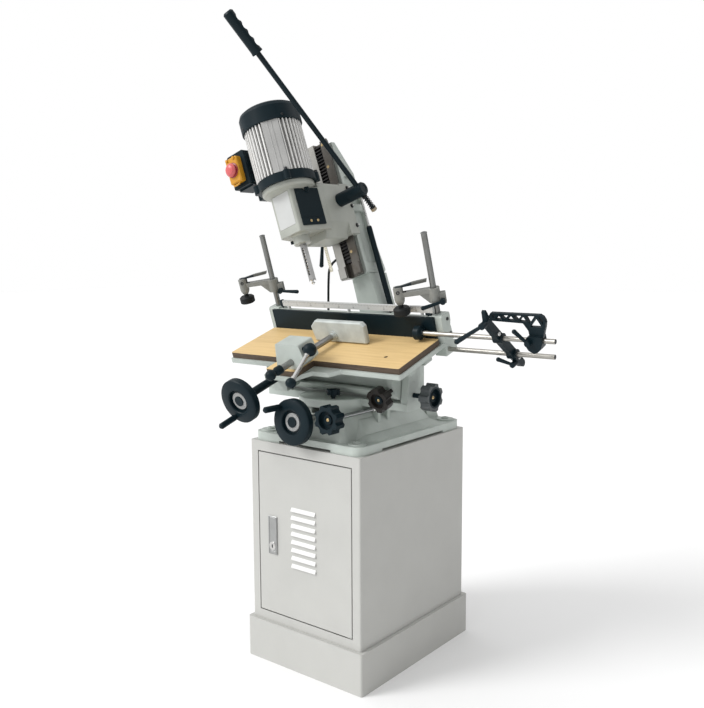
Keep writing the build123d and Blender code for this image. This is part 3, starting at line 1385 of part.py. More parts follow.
with BuildPart() as strut_tube:
    turned(
        at(COLUMN, STRUT_U, STRUT_V, STRUT_TUBE_BOTTOM),
        [
            (0, 0),
            (STRUT_TUBE_RADIUS - 2, 0),
            (STRUT_TUBE_RADIUS, 3),
            (STRUT_TUBE_RADIUS, STRUT_TUBE_TOP - STRUT_TUBE_BOTTOM - 2),
            (STRUT_TUBE_RADIUS - 2, STRUT_TUBE_TOP - STRUT_TUBE_BOTTOM),
            (STRUT_ROD_RADIUS + LOOSE_GAP, STRUT_TUBE_TOP - STRUT_TUBE_BOTTOM),
            (STRUT_ROD_RADIUS + LOOSE_GAP, 70),
            (0, 70),
        ],
    )
strut_tube.part.label = "strut_tube"
export_step(strut_tube.part, "parts/strut_tube.step")

# Head
with BuildPart() as head_casting:
    carriage_lip = WAY_FRONT - SLIDE_GAP
    prism(
        front(COLUMN, CARRIAGE_GIB),
        [
            (-CARRIAGE_HALF_WIDTH, HEAD_TOP),
            (-CARRIAGE_HALF_WIDTH, CARRIAGE_BOTTOM + 32),
            (-CARRIAGE_HALF_WIDTH + 17, CARRIAGE_BOTTOM - 10),
            (CARRIAGE_HALF_WIDTH - 17, CARRIAGE_BOTTOM - 10),
            (CARRIAGE_HALF_WIDTH, CARRIAGE_BOTTOM + 32),
            (CARRIAGE_HALF_WIDTH, HEAD_TOP),
        ],
        CARRIAGE_GIB - CARRIAGE_FRONT,
        corner=9,
    )
    block(
        COLUMN,
        (-CARRIAGE_HALF_WIDTH, CARRIAGE_HALF_WIDTH),
        (CARRIAGE_GIB, CARRIAGE_BACK),
        (CARRIAGE_BOTTOM, HEAD_TOP),
    )
    fillet(head_casting.edges().filter_by(Axis(COLUMN.origin, COLUMN.z_dir)).group_by(Axis.Y)[-1], 6)
    prism(
        level(COLUMN, BOX_BOTTOM),
        [
            (-BOX_FRONT_HALF_WIDTH, BOX_FRONT),
            (BOX_FRONT_HALF_WIDTH, BOX_FRONT),
            (BOX_BACK_HALF_WIDTH, CARRIAGE_FRONT),
            (BOX_BACK_HALF_WIDTH, CARRIAGE_FRONT + 14),
            (-BOX_BACK_HALF_WIDTH, CARRIAGE_FRONT + 14),
            (-BOX_BACK_HALF_WIDTH, CARRIAGE_FRONT),
        ],
        BOX_TOP - BOX_BOTTOM,
        corner=6,
    )
    turned(
        SPINDLE,
        [
            (0, NOSE_BOTTOM),
            (NOSE_RADIUS - 2, NOSE_BOTTOM),
            (NOSE_RADIUS, NOSE_BOTTOM + 2),
            (NOSE_RADIUS, BOX_BOTTOM - 4),
            (NOSE_RADIUS + 5, BOX_BOTTOM),
            (0, BOX_BOTTOM),
        ],
    )
    turned(
        SPINDLE,
        [
            (0, BOX_TOP - 6),
            (NECK_RADIUS - 40, BOX_TOP - 6),
            (NECK_RADIUS - 20, BOX_TOP - 1),
            (NECK_RADIUS - 4, BOX_TOP + 3),
            (NECK_RADIUS, BOX_TOP + 8),
            (NECK_RADIUS, HEAD_TOP),
            (0, HEAD_TOP),
        ],
    )
    rod(at(SPINDLE, z=NOSE_BOTTOM), CHISEL_SHANK_RADIUS + RUNNING_FIT, 60, mode=Mode.SUBTRACT)
    rod(at(SPINDLE, z=BOX_BOTTOM + 2), SPINDLE_BORE_RADIUS, HEAD_TOP - BOX_BOTTOM, mode=Mode.SUBTRACT)
    slope_start = CARRIAGE_BACK - WAY_FRONT + SLIDE_GAP
    prism(
        level(COLUMN, CARRIAGE_BOTTOM - 30),
        [
            (-WAY_HALF_WIDTH - LOOSE_GAP, carriage_lip),
            (WAY_HALF_WIDTH + LOOSE_GAP, carriage_lip),
            (WAY_HALF_WIDTH + LOOSE_GAP - slope_start * WAY_SLOPE, CARRIAGE_BACK),
            (-WAY_HALF_WIDTH - LOOSE_GAP + slope_start * WAY_SLOPE, CARRIAGE_BACK),
        ],
        HEAD_TOP - CARRIAGE_BOTTOM + 60,
        mode=Mode.SUBTRACT,
    )
    block(
        COLUMN,
        (-RACK_GROOVE_HALF_WIDTH - 1, RACK_GROOVE_HALF_WIDTH + 1),
        (carriage_lip - 3, carriage_lip + 1),
        (CARRIAGE_BOTTOM - 30, HEAD_TOP + 10),
        mode=Mode.SUBTRACT,
    )
    pinion_tip = FEED_MODULE * (FEED_TEETH / 2 + 1)
    shaft = side(at(COLUMN, -RACK_GROOVE_HALF_WIDTH - 1, FEED_AXIS_V, FEED_AXIS_W))
    rod(shaft, pinion_tip + 1.5, 2 * RACK_GROOVE_HALF_WIDTH + 2, mode=Mode.SUBTRACT)
    rod(shaft, FEED_SHAFT_RADIUS + RUNNING_FIT, 90, mode=Mode.SUBTRACT)
    rod(at(shaft, z=-22), FEED_TAIL_RADIUS + RUNNING_FIT, 30, mode=Mode.SUBTRACT)
    block(
        COLUMN,
        (CARRIAGE_HALF_WIDTH - 14, STRUT_U + 9),
        (CARRIAGE_BACK - 12, STRUT_V + 9),
        (STRUT_ROD_TOP, STRUT_ROD_TOP + 14),
    )
    head_lock = side(at(COLUMN, -CARRIAGE_HALF_WIDTH, 60, CARRIAGE_BOTTOM + 16))
    rod(head_lock, STUD_RADIUS + RUNNING_FIT, 12, mode=Mode.SUBTRACT)
head_casting.part.label = "head_casting"
export_step(head_casting.part, "parts/head_casting.step")

with BuildPart() as cover_plate:
    run = CARRIAGE_FRONT - BOX_FRONT
    spread = BOX_BACK_HALF_WIDTH - BOX_FRONT_HALF_WIDTH
    slant = degrees(atan(spread / run))
    corner_frame = at(COLUMN, BOX_FRONT_HALF_WIDTH, BOX_FRONT, 0)
    cover_frame = side(turned_to(corner_frame, -slant))
    cover_top = BOX_TOP - 3
    prism(
        cover_frame,
        [
            (14, COVER_BOTTOM),
            (14 + COVER_LENGTH, COVER_BOTTOM),
            (14 + COVER_LENGTH, cover_top),
            (14 + COVER_LENGTH / 2 + 12, cover_top),
            (14 + COVER_LENGTH / 2 + 6, cover_top - 6),
            (14 + COVER_LENGTH / 2 - 6, cover_top - 6),
            (14 + COVER_LENGTH / 2 - 12, cover_top),
            (14, cover_top),
        ],
        COVER_THICKNESS,
        corner=2,
    )
cover_plate.part.label = "cover_plate"
export_step(cover_plate.part, "parts/cover_plate.step")

with BuildPart() as motor_flange:
    with BuildSketch(level(SPINDLE, HEAD_TOP)):
        Circle(MOTOR_FLANGE_RADIUS)
        with PolarLocations(MOTOR_FLANGE_RADIUS, 4, start_angle=45):
            Circle(MOTOR_EAR_RADIUS)
        with Locations((-MOTOR_FLANGE_RADIUS - 4, 0)):
            Rectangle(28, 30)
        Circle(SPINDLE_BORE_RADIUS, mode=Mode.SUBTRACT)
    extrude(amount=MOTOR_FLANGE_TOP - HEAD_TOP)
    chamfer(motor_flange.edges().filter_by(COLUMN).group_by(Axis(COLUMN.origin, COLUMN.z_dir))[-1], 2)
motor_flange.part.label = "motor_flange"
export_step(motor_flange.part, "parts/motor_flange.step")

with BuildPart() as motor_housing:
    with BuildSketch(level(SPINDLE, MOTOR_FLANGE_TOP)):
        Circle(MOTOR_CORE_RADIUS)
        with PolarLocations(MOTOR_FIN_RADIUS - 4.5, FIN_COUNT):
            Rectangle(9, FIN_THICKNESS)
        with PolarLocations(MOTOR_FIN_RADIUS - 8, 1, MOTOR_PANEL_ANGLE):
            Rectangle(14, MOTOR_PANEL_WIDTH)
    extrude(amount=MOTOR_TOP - MOTOR_FLANGE_TOP)
motor_housing.part.label = "motor_housing"
export_step(motor_housing.part, "parts/motor_housing.step")

with BuildPart() as fan_cover:
    turned(
        SPINDLE,
        [
            (0, MOTOR_TOP),
            (FAN_COVER_RADIUS - 1, MOTOR_TOP),
            (FAN_COVER_RADIUS, MOTOR_TOP + 1),
            (FAN_COVER_RADIUS, FAN_COVER_TOP - 14),
            (FAN_COVER_RADIUS - 4, FAN_COVER_TOP - 5),
            (FAN_COVER_RADIUS - 12, FAN_COVER_TOP),
            (FAN_COVER_RADIUS - 40, FAN_COVER_TOP + FAN_DOME - 2),
            (0, FAN_COVER_TOP + FAN_DOME),
        ],
    )
fan_cover.part.label = "fan_cover"
export_step(fan_cover.part, "parts/fan_cover.step")

with BuildPart() as switch_box:
    box_left = SWITCH_U - SWITCH_WIDTH / 2
    prism(
        front(COLUMN, SWITCH_BACK),
        [
            (box_left, SWITCH_BOTTOM),
            (box_left + SWITCH_WIDTH, SWITCH_BOTTOM),
            (box_left + SWITCH_WIDTH, SWITCH_TOP),
            (box_left, SWITCH_TOP),
        ],
        SWITCH_BACK - SWITCH_FRONT,
        corner=5,
    )
    stem_hole = front(at(COLUMN, SWITCH_U + BUTTON_SHIFT, SWITCH_BACK - 16, BUTTON_W))
    rod(stem_hole, BUTTON_STEM_RADIUS + LOOSE_GAP, 30, mode=Mode.SUBTRACT)
    block(COLUMN, (box_left + 4, -82), (-136, -86), (SWITCH_BOTTOM - 4, SWITCH_BOTTOM))
    block(COLUMN, (-98, -82), (-114, -86), (MOTOR_FLANGE_TOP, SWITCH_BOTTOM))
switch_box.part.label = "switch_box"
export_step(switch_box.part, "parts/switch_box.step")

button_frame = front(at(COLUMN, SWITCH_U + BUTTON_SHIFT, SWITCH_FRONT, BUTTON_W))
with BuildPart() as switch_housing:
    with BuildSketch(button_frame):
        RectangleRounded(HOUSING_WIDTH, HOUSING_HEIGHT, 6)
    extrude(amount=HOUSING_DEPTH)
    chamfer(switch_housing.edges().filter_by(button_frame).group_by(Axis.Y)[0], 3)
    rod(button_frame, BUTTON_STEM_RADIUS + LOOSE_GAP, HOUSING_DEPTH, mode=Mode.SUBTRACT)
switch_housing.part.label = "switch_housing"
export_step(switch_housing.part, "parts/switch_housing.step")

with BuildPart() as stop_button:
    turned(
        at(button_frame, z=HOUSING_DEPTH + BUTTON_GAP),
        [
            (0, -HOUSING_DEPTH - BUTTON_GAP - 6),
            (BUTTON_STEM_RADIUS, -HOUSING_DEPTH - BUTTON_GAP - 6),
            (BUTTON_STEM_RADIUS, 0),
            (BUTTON_RADIUS - 1, 0),
            (BUTTON_RADIUS, 2),
            (BUTTON_RADIUS, 5),
            (BUTTON_RADIUS - 5, BUTTON_DEPTH - 2),
            (BUTTON_RADIUS - 11, BUTTON_DEPTH),
            (0, BUTTON_DEPTH),
        ],
    )
stop_button.part.label = "stop_button"
export_step(stop_button.part, "parts/stop_button.step")

with BuildPart() as strut_rod:
    rod(at(COLUMN, STRUT_U, STRUT_V, STRUT_ROD_TOP - 180), STRUT_ROD_RADIUS, 180)
strut_rod.part.label = "strut_rod"
export_step(strut_rod.part, "parts/strut_rod.step")

with BuildPart() as chisel:
    with BuildSketch(level(SPINDLE, CHISEL_TIP)):
        Rectangle(CHISEL_SIZE, CHISEL_SIZE)
    extrude(amount=NOSE_BOTTOM - CHISEL_TIP)
    rod(at(SPINDLE, z=NOSE_BOTTOM), CHISEL_SHANK_RADIUS, 22)
    rod(at(SPINDLE, z=CHISEL_TIP), CHISEL_BORE_RADIUS, NOSE_BOTTOM - CHISEL_TIP + 22, mode=Mode.SUBTRACT)
    turned(
        at(SPINDLE, z=CHISEL_TIP),
        [(0, -1), (CHISEL_SIZE * 0.66, -1), (CHISEL_BORE_RADIUS - 0.5, 9), (0, 9)],
        mode=Mode.SUBTRACT,
    )
    chip_window = (CHISEL_TIP + 17, CHISEL_TIP + 93)
    block(SPINDLE, (-3.4, 3.4), (-CHISEL_SIZE, 0), chip_window, mode=Mode.SUBTRACT)
chisel.part.label = "chisel"
export_step(chisel.part, "parts/chisel.step")

with BuildPart() as auger:
    turned(
        SPINDLE,
        [
            (0, AUGER_TIP - 3),
            (2, AUGER_TIP),
            (AUGER_RADIUS, AUGER_TIP + 3),
            (AUGER_RADIUS, CHUCK_BOTTOM),
            (CHUCK_RADIUS - 7, CHUCK_BOTTOM),
            (CHUCK_RADIUS, CHUCK_BOTTOM + 20),
            (CHUCK_RADIUS, CHUCK_TOP),
            (0, CHUCK_TOP),
        ],
    )
auger.part.label = "auger"
export_step(auger.part, "parts/auger.step")

with BuildPart() as head_lock_lever:
    lock_face = Plane(origin=head_lock.origin, x_dir=-COLUMN.z_dir, z_dir=-COLUMN.x_dir)
    clamp_lever(lock_face, 62, 26, hub_radius=8, hub_height=14)
    rod(at(lock_face, z=-10), STUD_RADIUS, 10)
head_lock_lever.part.label = "head_lock_lever"
export_step(head_lock_lever.part, "parts/head_lock_lever.step")

# Feed lever
with BuildPart() as feed_hub:
    hub_axis = side(at(COLUMN, 0, FEED_AXIS_V, FEED_AXIS_W))
    pinion(at(hub_axis, z=-RACK_HALF_WIDTH), FEED_MODULE, FEED_TEETH, 2 * RACK_HALF_WIDTH, 0)
    rod(at(hub_axis, z=-RACK_HALF_WIDTH - 20), FEED_TAIL_RADIUS, 20)
    rod(hub_axis, FEED_SHAFT_RADIUS, HUB_START)
    turned(
        hub_axis,
        [
            (0, HUB_START),
            (HUB_RADIUS, HUB_START),
            (HUB_RADIUS, HUB_END - 3),
            (HUB_RADIUS - 3, HUB_END),
            (0, HUB_END),
        ],
    )
    lean = radians(LEVER_LEAN)
    lever_axis = Plane(
        origin=COLUMN.from_local_coords((LEVER_U, FEED_AXIS_V, FEED_AXIS_W)),
        x_dir=COLUMN.x_dir,
        z_dir=COLUMN.z_dir * cos(lean) - COLUMN.y_dir * sin(lean),
    )
    lever_hole = at(lever_axis, z=-HUB_RADIUS - 5)
    rod(lever_hole, LEVER_RADIUS + RUNNING_FIT, 2 * HUB_RADIUS + 10, mode=Mode.SUBTRACT)
feed_hub.part.label = "feed_hub"
export_step(feed_hub.part, "parts/feed_hub.step")

with BuildPart() as feed_lever:
    turned(
        lever_axis,
        [
            (0, -LEVER_TAIL),
            (TAIL_RADIUS, -LEVER_TAIL),
            (TAIL_RADIUS, -HUB_RADIUS - 1),
            (LEVER_RADIUS, -HUB_RADIUS),
            (LEVER_RADIUS, LEVER_LENGTH),
            (0, LEVER_LENGTH),
        ],
    )
    with BuildSketch(at(lever_axis, z=-NUT_TOP)):
        RegularPolygon(9.5, 6)
    extrude(amount=-NUT_HEIGHT)
feed_lever.part.label = "feed_lever"
export_step(feed_lever.part, "parts/feed_lever.step")

with BuildPart() as feed_grip:
    grip_axis = turned_to(at(lever_axis, z=GRIP_START), GRIP_TURN)
    socket_depth = LEVER_LENGTH - GRIP_START + RUNNING_FIT
    turned(
        grip_axis,
        [
            (LEVER_RADIUS + RUNNING_FIT, 0),
            (GRIP_RADIUS + 1, 0),
            (GRIP_RADIUS + 1, 4),
            (GRIP_RADIUS, 7),
            (GRIP_RADIUS, GRIP_LENGTH - 4),
            (GRIP_RADIUS - 4, GRIP_LENGTH),
            (0, GRIP_LENGTH),
            (0, socket_depth),
            (LEVER_RADIUS + RUNNING_FIT, socket_depth),
        ],
    )
    scallop = GRIP_LENGTH / (GRIP_SCALLOPS + 1)
    finger_reach = GRIP_RADIUS + FINGER_RADIUS - FINGER_DEPTH
    for i in range(GRIP_SCALLOPS):
        finger = at(grip_axis, finger_reach, 2 * GRIP_RADIUS, scallop * (i + 0.9))
        rod(front(finger), FINGER_RADIUS, 4 * GRIP_RADIUS, mode=Mode.SUBTRACT)
feed_grip.part.label = "feed_grip"
export_step(feed_grip.part, "parts/feed_grip.step")


def coil_point(frame, radius, pitch, turn):
    """Point and direction on a screw line about a frame's normal after some turns."""
    angle = 2 * pi * turn
    here = frame.from_local_coords((radius * cos(angle), radius * sin(angle), pitch * turn))
    ahead = frame.from_local_coords(
        (
            radius * cos(angle) - 2 * pi * radius * sin(angle),
            radius * sin(angle) + 2 * pi * radius * cos(angle),
            pitch * (turn + 1),
        )
    )
    return here, (ahead - here).normalized()


with BuildPart() as tail_spring:
    spring_frame = at(lever_axis, z=-SPRING_START - SPRING_COILS * SPRING_PITCH)
    with BuildLine() as spring_line:
        first, first_way = coil_point(spring_frame, SPRING_RADIUS, SPRING_PITCH, 0)
        Line(first - first_way * 2 * SPRING_WIRE, first)
        for quarter in range(4 * SPRING_COILS):
            here, way = coil_point(spring_frame, SPRING_RADIUS, SPRING_PITCH, quarter / 4)
            there, there_way = coil_point(spring_frame, SPRING_RADIUS, SPRING_PITCH, (quarter + 1) / 4)
            biarc(here, way, there, there_way)
        Line(there, there + there_way * 2 * SPRING_WIRE)
    spring_path = spring_line.wires()[0]
    with BuildSketch(Plane(origin=spring_path @ 0, z_dir=spring_path % 0)) as wire_section:
        Circle(SPRING_WIRE)
    sweep(wire_section.sketch, path=spring_path)
tail_spring.part.label = "tail_spring"
export_step(tail_spring.part, "parts/tail_spring.step")
print("tail spring least gap", round(least_gap(spring_path, 300, 20, 2 * SPRING_WIRE), 2))

# Mains lead
gland = Plane(
    origin=COLUMN.from_local_coords((-COLUMN_HALF_WIDTH, GLAND_V, GLAND_W)),
    x_dir=COLUMN.z_dir,
    z_dir=-COLUMN.x_dir,
)
with BuildPart() as strain_relief:
    turned(
        gland,
        [
            (CORD_RADIUS + RUNNING_FIT, 0),
            (9, 0),
            (9, 6),
            (7, 8),
            (CORD_RADIUS + 1.2, GLAND_LENGTH),
            (CORD_RADIUS + RUNNING_FIT, GLAND_LENGTH),
        ],
    )
strain_relief.part.label = "strain_relief"
export_step(strain_relief.part, "parts/strain_relief.step")

cord_start = gland.from_local_coords((0, 0, 2))
cord_bend = gland.from_local_coords((0, 0, GLAND_LENGTH + 34))
hang_x = -PLINTH_WIDTH / 2 - 16
lay_z = CORD_RADIUS + 0.1
route = [
    cord_start,
    cord_bend,
    Vector(hang_x + 1, GLAND_V + 1, 1000),
    Vector(hang_x - 2, GLAND_V + 3, 900),
    Vector(hang_x - 3, GLAND_V + 5, 790),
    Vector(hang_x - 2, GLAND_V + 7, 670),
    Vector(hang_x, GLAND_V + 6, 550),
    Vector(hang_x + 1, GLAND_V + 4, 430),
    Vector(hang_x, GLAND_V + 3, 310),
    Vector(hang_x - 2, GLAND_V + 6, 200),
    Vector(hang_x - 4, GLAND_V + 10, 110),
    Vector(hang_x - 4, GLAND_V + 18, 46),
    Vector(hang_x - 3, GLAND_V + 48, lay_z),
    Vector(hang_x - 1, GLAND_V + 98, lay_z),
    Vector(hang_x + 2, GLAND_V + 148, lay_z),
    Vector(COIL_X - COIL_RADIUS - 23, COIL_Y - 68, lay_z),
    Vector(COIL_X - COIL_RADIUS, COIL_Y - 34, lay_z),
    Vector(COIL_X - COIL_RADIUS, COIL_Y, lay_z),
]


def bend_radius(before, corner, after):
    """Radius of the arc that rounds one corner of the lead's route."""
    first = corner - before
    second = after - corner
    turn = radians(first.get_angle(second))
    return 0.45 * min(first.length, second.length) / tan(turn / 2)


radii = [bend_radius(*route[i : i + 3]) for i in range(len(route) - 2)]
print("lead bend radii", [round(radius) for radius in radii])
with BuildPart() as cord:
    with BuildLine() as cord_line:
        point = route[0]
        for i, radius in enumerate(radii):
            reach = 0.45 * min((route[i + 1] - route[i]).length, (route[i + 2] - route[i + 1]).length)
            arc_in = route[i + 1] - (route[i + 1] - route[i]).normalized() * reach
            arc_out = route[i + 1] + (route[i + 2] - route[i + 1]).normalized() * reach
            Line(point, arc_in)
            TangentArc(arc_in, arc_out, tangent=route[i + 1] - route[i])
            point = arc_out
        Line(point, route[-1])
    cord_path = cord_line.wires()[0]
    with BuildSketch(Plane(origin=cord_path @ 0, z_dir=cord_path % 0)) as cord_section:
        Circle(CORD_RADIUS)
    sweep(cord_section.sketch, path=cord_path)
cord.part.label = "cord"
export_step(cord.part, "parts/cord.step")
cord_ratio = cord.part.volume / (pi * CORD_RADIUS**2 * cord_path.length)
print("cord length", round(cord_path.length), "volume ratio", round(cord_ratio, 3))

with BuildPart() as cord_coil:
    with BuildLine() as coil_line:
        here = Vector(COIL_X - COIL_RADIUS, COIL_Y, lay_z)
        way = Vector(0, 1, 0)
        span = 2 * COIL_RADIUS
        sign = 1
        for half_turn in range(2 * COIL_HALF_TURNS):
            climb = LAYER_RISE if half_turn == COIL_HALF_TURNS else 0
            there = here + Vector(sign * span, 0, climb)
            biarc(here, way, there, way * -1)
            here = there
            way = way * -1
            sign = -sign
            span += -COIL_STEP * 2 if half_turn < COIL_HALF_TURNS else COIL_STEP * 2
        coil_end = here + way * COIL_TAIL
        Line(here, coil_end)
    coil_path = coil_line.wires()[0]
    with BuildSketch(Plane(origin=coil_path @ 0, z_dir=coil_path % 0)) as coil_section:
        RegularPolygon(CORD_RADIUS, CORD_SIDES)
    sweep(coil_section.sketch, path=coil_path)
cord_coil.part.label = "cord_coil"
export_step(cord_coil.part, "parts/cord_coil.step")
coil_gap = least_gap(coil_path, 400, 60, 2 * CORD_RADIUS)
print("coil length", round(coil_path.length), "least gap", round(coil_gap, 2))

with BuildPart() as plug:
    plug_frame = Plane(origin=coil_end, x_dir=(1, 0, 0), z_dir=way)
    turned(plug_frame, [(0, 0), (6, 0), (8, 16), (0, 16)])
    with BuildSketch(at(plug_frame, z=16)):
        RectangleRounded(26, 2 * coil_end.Z - 0.4, 6)
    extrude(amount=26)
    for blade_x in (-6.4, 6.4):
        block(at(plug_frame, blade_x, 0, 42), (-0.8, 0.8), (-3.2, 3.2), (0, 16))
plug.part.label = "plug"
export_step(plug.part, "parts/plug.step")
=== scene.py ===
"""Looks of the floor mortiser: finishes for its solids and the fine pieces that ride on them."""

import logging
from dataclasses import dataclass, field
from enum import Enum
from functools import partial, reduce
from math import cos, pi, radians, sin, tau
from typing import ClassVar, Optional, Sequence, Union

import bmesh
import bpy
from bpy.types import ID, Curve, Material, Mesh, NodeSocket, NodeTree, Object
from mathutils import Matrix, Vector


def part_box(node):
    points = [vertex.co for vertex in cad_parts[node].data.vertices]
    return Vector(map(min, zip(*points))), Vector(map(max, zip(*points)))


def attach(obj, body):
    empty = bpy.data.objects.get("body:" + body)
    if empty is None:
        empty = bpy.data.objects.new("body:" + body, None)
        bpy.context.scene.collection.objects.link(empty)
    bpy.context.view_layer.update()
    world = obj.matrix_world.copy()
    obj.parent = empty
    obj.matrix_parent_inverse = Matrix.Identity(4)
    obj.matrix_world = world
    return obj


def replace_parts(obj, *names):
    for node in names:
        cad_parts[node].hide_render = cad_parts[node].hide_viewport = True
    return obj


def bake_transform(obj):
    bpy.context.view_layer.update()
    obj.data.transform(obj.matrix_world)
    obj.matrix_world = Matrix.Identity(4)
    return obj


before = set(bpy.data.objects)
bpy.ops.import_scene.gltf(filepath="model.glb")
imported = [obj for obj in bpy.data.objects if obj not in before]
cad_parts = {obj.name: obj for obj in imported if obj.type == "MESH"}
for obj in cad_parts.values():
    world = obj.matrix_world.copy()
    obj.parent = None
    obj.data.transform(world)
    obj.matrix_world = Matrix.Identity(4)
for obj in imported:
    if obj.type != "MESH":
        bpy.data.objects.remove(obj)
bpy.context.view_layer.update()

LOG = logging.getLogger("mortiser")
MM = 0.001
Color = tuple[float, float, float]
Point = tuple[float, float, float]
Flat = tuple[float, float]
Bounds = tuple[float, float, float, float]
Profile = Sequence[Sequence[float]]
Value = Union[float, NodeSocket]


def placed(origin: Point, x_axis: Sequence[float], z_axis: Sequence[float]) -> Matrix:
    """Frame from an origin in millimetres and two of its axes.

    Args:
        origin: Place of the frame in the shared frame, in millimetres.
        x_axis: Direction of the frame's x.
        z_axis: Direction of the frame's z.

    Returns:
        The frame as a matrix in metres.
    """
    up = Vector(z_axis).normalized()
    across = Vector(x_axis)
    across = (across - up * across.dot(up)).normalized()
    turn = Matrix((across, up.cross(across), up)).transposed().to_4x4()
    return Matrix.Translation(Vector(origin) * MM) @ turn


def shifted(base: Matrix, x: float = 0.0, y: float = 0.0, z: float = 0.0) -> Matrix:
    """Frame moved along its own axes, in millimetres."""
    return base @ Matrix.Translation(Vector((x, y, z)) * MM)


def turned(base: Matrix, axis: str, angle: float) -> Matrix:
    """Frame turned about one of its own axes, in degrees."""
    return base @ Matrix.Rotation(radians(angle), 4, axis)


def aimed(base: Matrix, start: Point, end: Point) -> Matrix:
    """Frame at one point of another frame, its z pointing at a second point."""
    way = base.to_3x3() @ (Vector(end) - Vector(start))
    return placed(tuple((base @ (Vector(start) * MM)) / MM), way.orthogonal(), way)


class Facing(Enum):
    """Direction that a frame's z is turned to, given as the rows of the turn."""

    FRONT = ((1, 0, 0), (0, 0, -1), (0, 1, 0))
    BACK = ((-1, 0, 0), (0, 0, 1), (0, 1, 0))
    RIGHT = ((0, 0, 1), (1, 0, 0), (0, 1, 0))
    LEFT = ((0, 0, -1), (-1, 0, 0), (0, 1, 0))

    def of(self, base: Matrix, x: float = 0.0, y: float = 0.0, z: float = 0.0) -> Matrix:
        """Frame at a place of another, in millimetres, turned to this direction."""
        return shifted(base, x, y, z) @ Matrix(self.value).to_4x4()


CORNER_STEPS = 4


def rect(x0: float, x1: float, y0: float, y1: float, corner: float = 0.0) -> list[Flat]:
    """Outline of a rectangle.

    Args:
        x0: Left side.
        x1: Right side.
        y0: Bottom.
        y1: Top.
        corner: Radius of its corners, or zero for sharp ones.

    Returns:
        The corners, counter-clockwise.
    """
    if not corner:
        return [(x0, y0), (x1, y0), (x1, y1), (x0, y1)]
    corners = ((x1, y0, -90, -1, 1), (x1, y1, 0, -1, -1), (x0, y1, 90, 1, -1), (x0, y0, 180, 1, 1))
    points = []
    for x, y, start, inward_x, inward_y in corners:
        for step in range(CORNER_STEPS + 1):
            angle = radians(start + 90 * step / CORNER_STEPS)
            points.append((x + corner * (inward_x + cos(angle)), y + corner * (inward_y + sin(angle))))
    return points


COLUMN_TILT = radians(19.0)
TABLE_TILT = radians(18.0)
LEVER_LEAN = 37.4
WORLD = Matrix.Identity(4)
COLUMN = placed(
    (0, 0, 787),
    (cos(COLUMN_TILT), 0, sin(COLUMN_TILT)),
    (-sin(COLUMN_TILT), 0, cos(COLUMN_TILT)),
)
CRADLE = placed((0, -83, 785), (1, 0, 0), (0, -sin(TABLE_TILT), cos(TABLE_TILT)))
TABLE = shifted(CRADLE, 0, -110, 76)
LEVER = turned(shifted(COLUMN, 129, 36, 455), "X", LEVER_LEAN)
SPINDLE = shifted(COLUMN, 0, -100, 0)


def added(name: str, data: ID) -> Object:
    """Adds an object to the scene.

    Args:
        name: Its name.
        data: What it shows.

    Returns:
        The object.
    """
    made = bpy.data.objects.new(name, data)
    bpy.context.scene.collection.objects.link(made)
    return made


def read_curve(data: Curve) -> Mesh:
    """Reads the mesh of a curve or of figures, through an object that is taken away again.

    Args:
        data: The curve or the figures.

    Returns:
        The mesh.
    """
    made = added(data.name, data)
    bpy.context.view_layer.update()
    mesh = bpy.data.meshes.new_from_object(made.evaluated_get(bpy.context.evaluated_depsgraph_get()))
    bpy.data.objects.remove(made)
    return mesh


class Tree:
    """Node tree, with short ways to add to it."""

    def __init__(self, tree: NodeTree) -> None:
        """Takes the tree that nodes are added to."""
        self.nodes, self.links = tree.nodes, tree.links

    def feed(self, socket: NodeSocket, value: object) -> None:
        """Links a socket, or sets it where the value is constant.

        Args:
            socket: The input to fill.
            value: A socket to link from, or a number, vector or colour.
        """
        if isinstance(value, NodeSocket):
            self.links.new(value, socket)
        elif socket.type == "RGBA":
            socket.default_value = (*value, 1.0)
        else:
            socket.default_value = value

    def node(
        self,
        kind: str,
        inputs: dict[Union[int, str], object],
        output: Union[int, str] = 0,
        **settings: object,
    ) -> NodeSocket:
        """Adds a node.

        Args:
            kind: Type of the node, without the prefix that all have.
            inputs: What its inputs take, by name or number.
            output: Name or number of the output that is wanted.
            settings: Its other settings by name.

        Returns:
            The output.
        """
        node = self.nodes.new("ShaderNode" + kind)
        for name, value in settings.items():
            setattr(node, name, value)
        for key, value in inputs.items():
            self.feed(node.inputs[key], value)
        return node.outputs[output]

    def math(self, operation: str, first: Value, second: Value = 0.0) -> NodeSocket:
        """One step of arithmetic on values."""
        return self.node("Math", {0: first, 1: second}, operation=operation)

    def mix(self, factor: Value, first: object, second: object) -> NodeSocket:
        """Colour between two colours."""
        return self.node("Mix", {0: factor, 6: first, 7: second}, 2, data_type="RGBA")

    def weigh(self, factor: Value, first: Value, second: Value) -> NodeSocket:
        """Value between two values."""
        return self.node("Mix", {0: factor, 2: first, 3: second}, data_type="FLOAT")

    def vector(self, operation: str, first: object, second: object, output: str = "Vector") -> NodeSocket:
        """One step of vector arithmetic."""
        return self.node("VectorMath", {0: first, 1: second}, output, operation=operation)

    def span(self, value: Value, low: float, high: float, to_low: float, to_high: float) -> NodeSocket:
        """Value carried from one range to another and held at its ends."""
        ends = {"From Min": low, "From Max": high, "To Min": to_low, "To Max": to_high}
        return self.node("MapRange", {"Value": value, **ends}, "Result")


EVEN = (1.0, 1.0, 1.0)


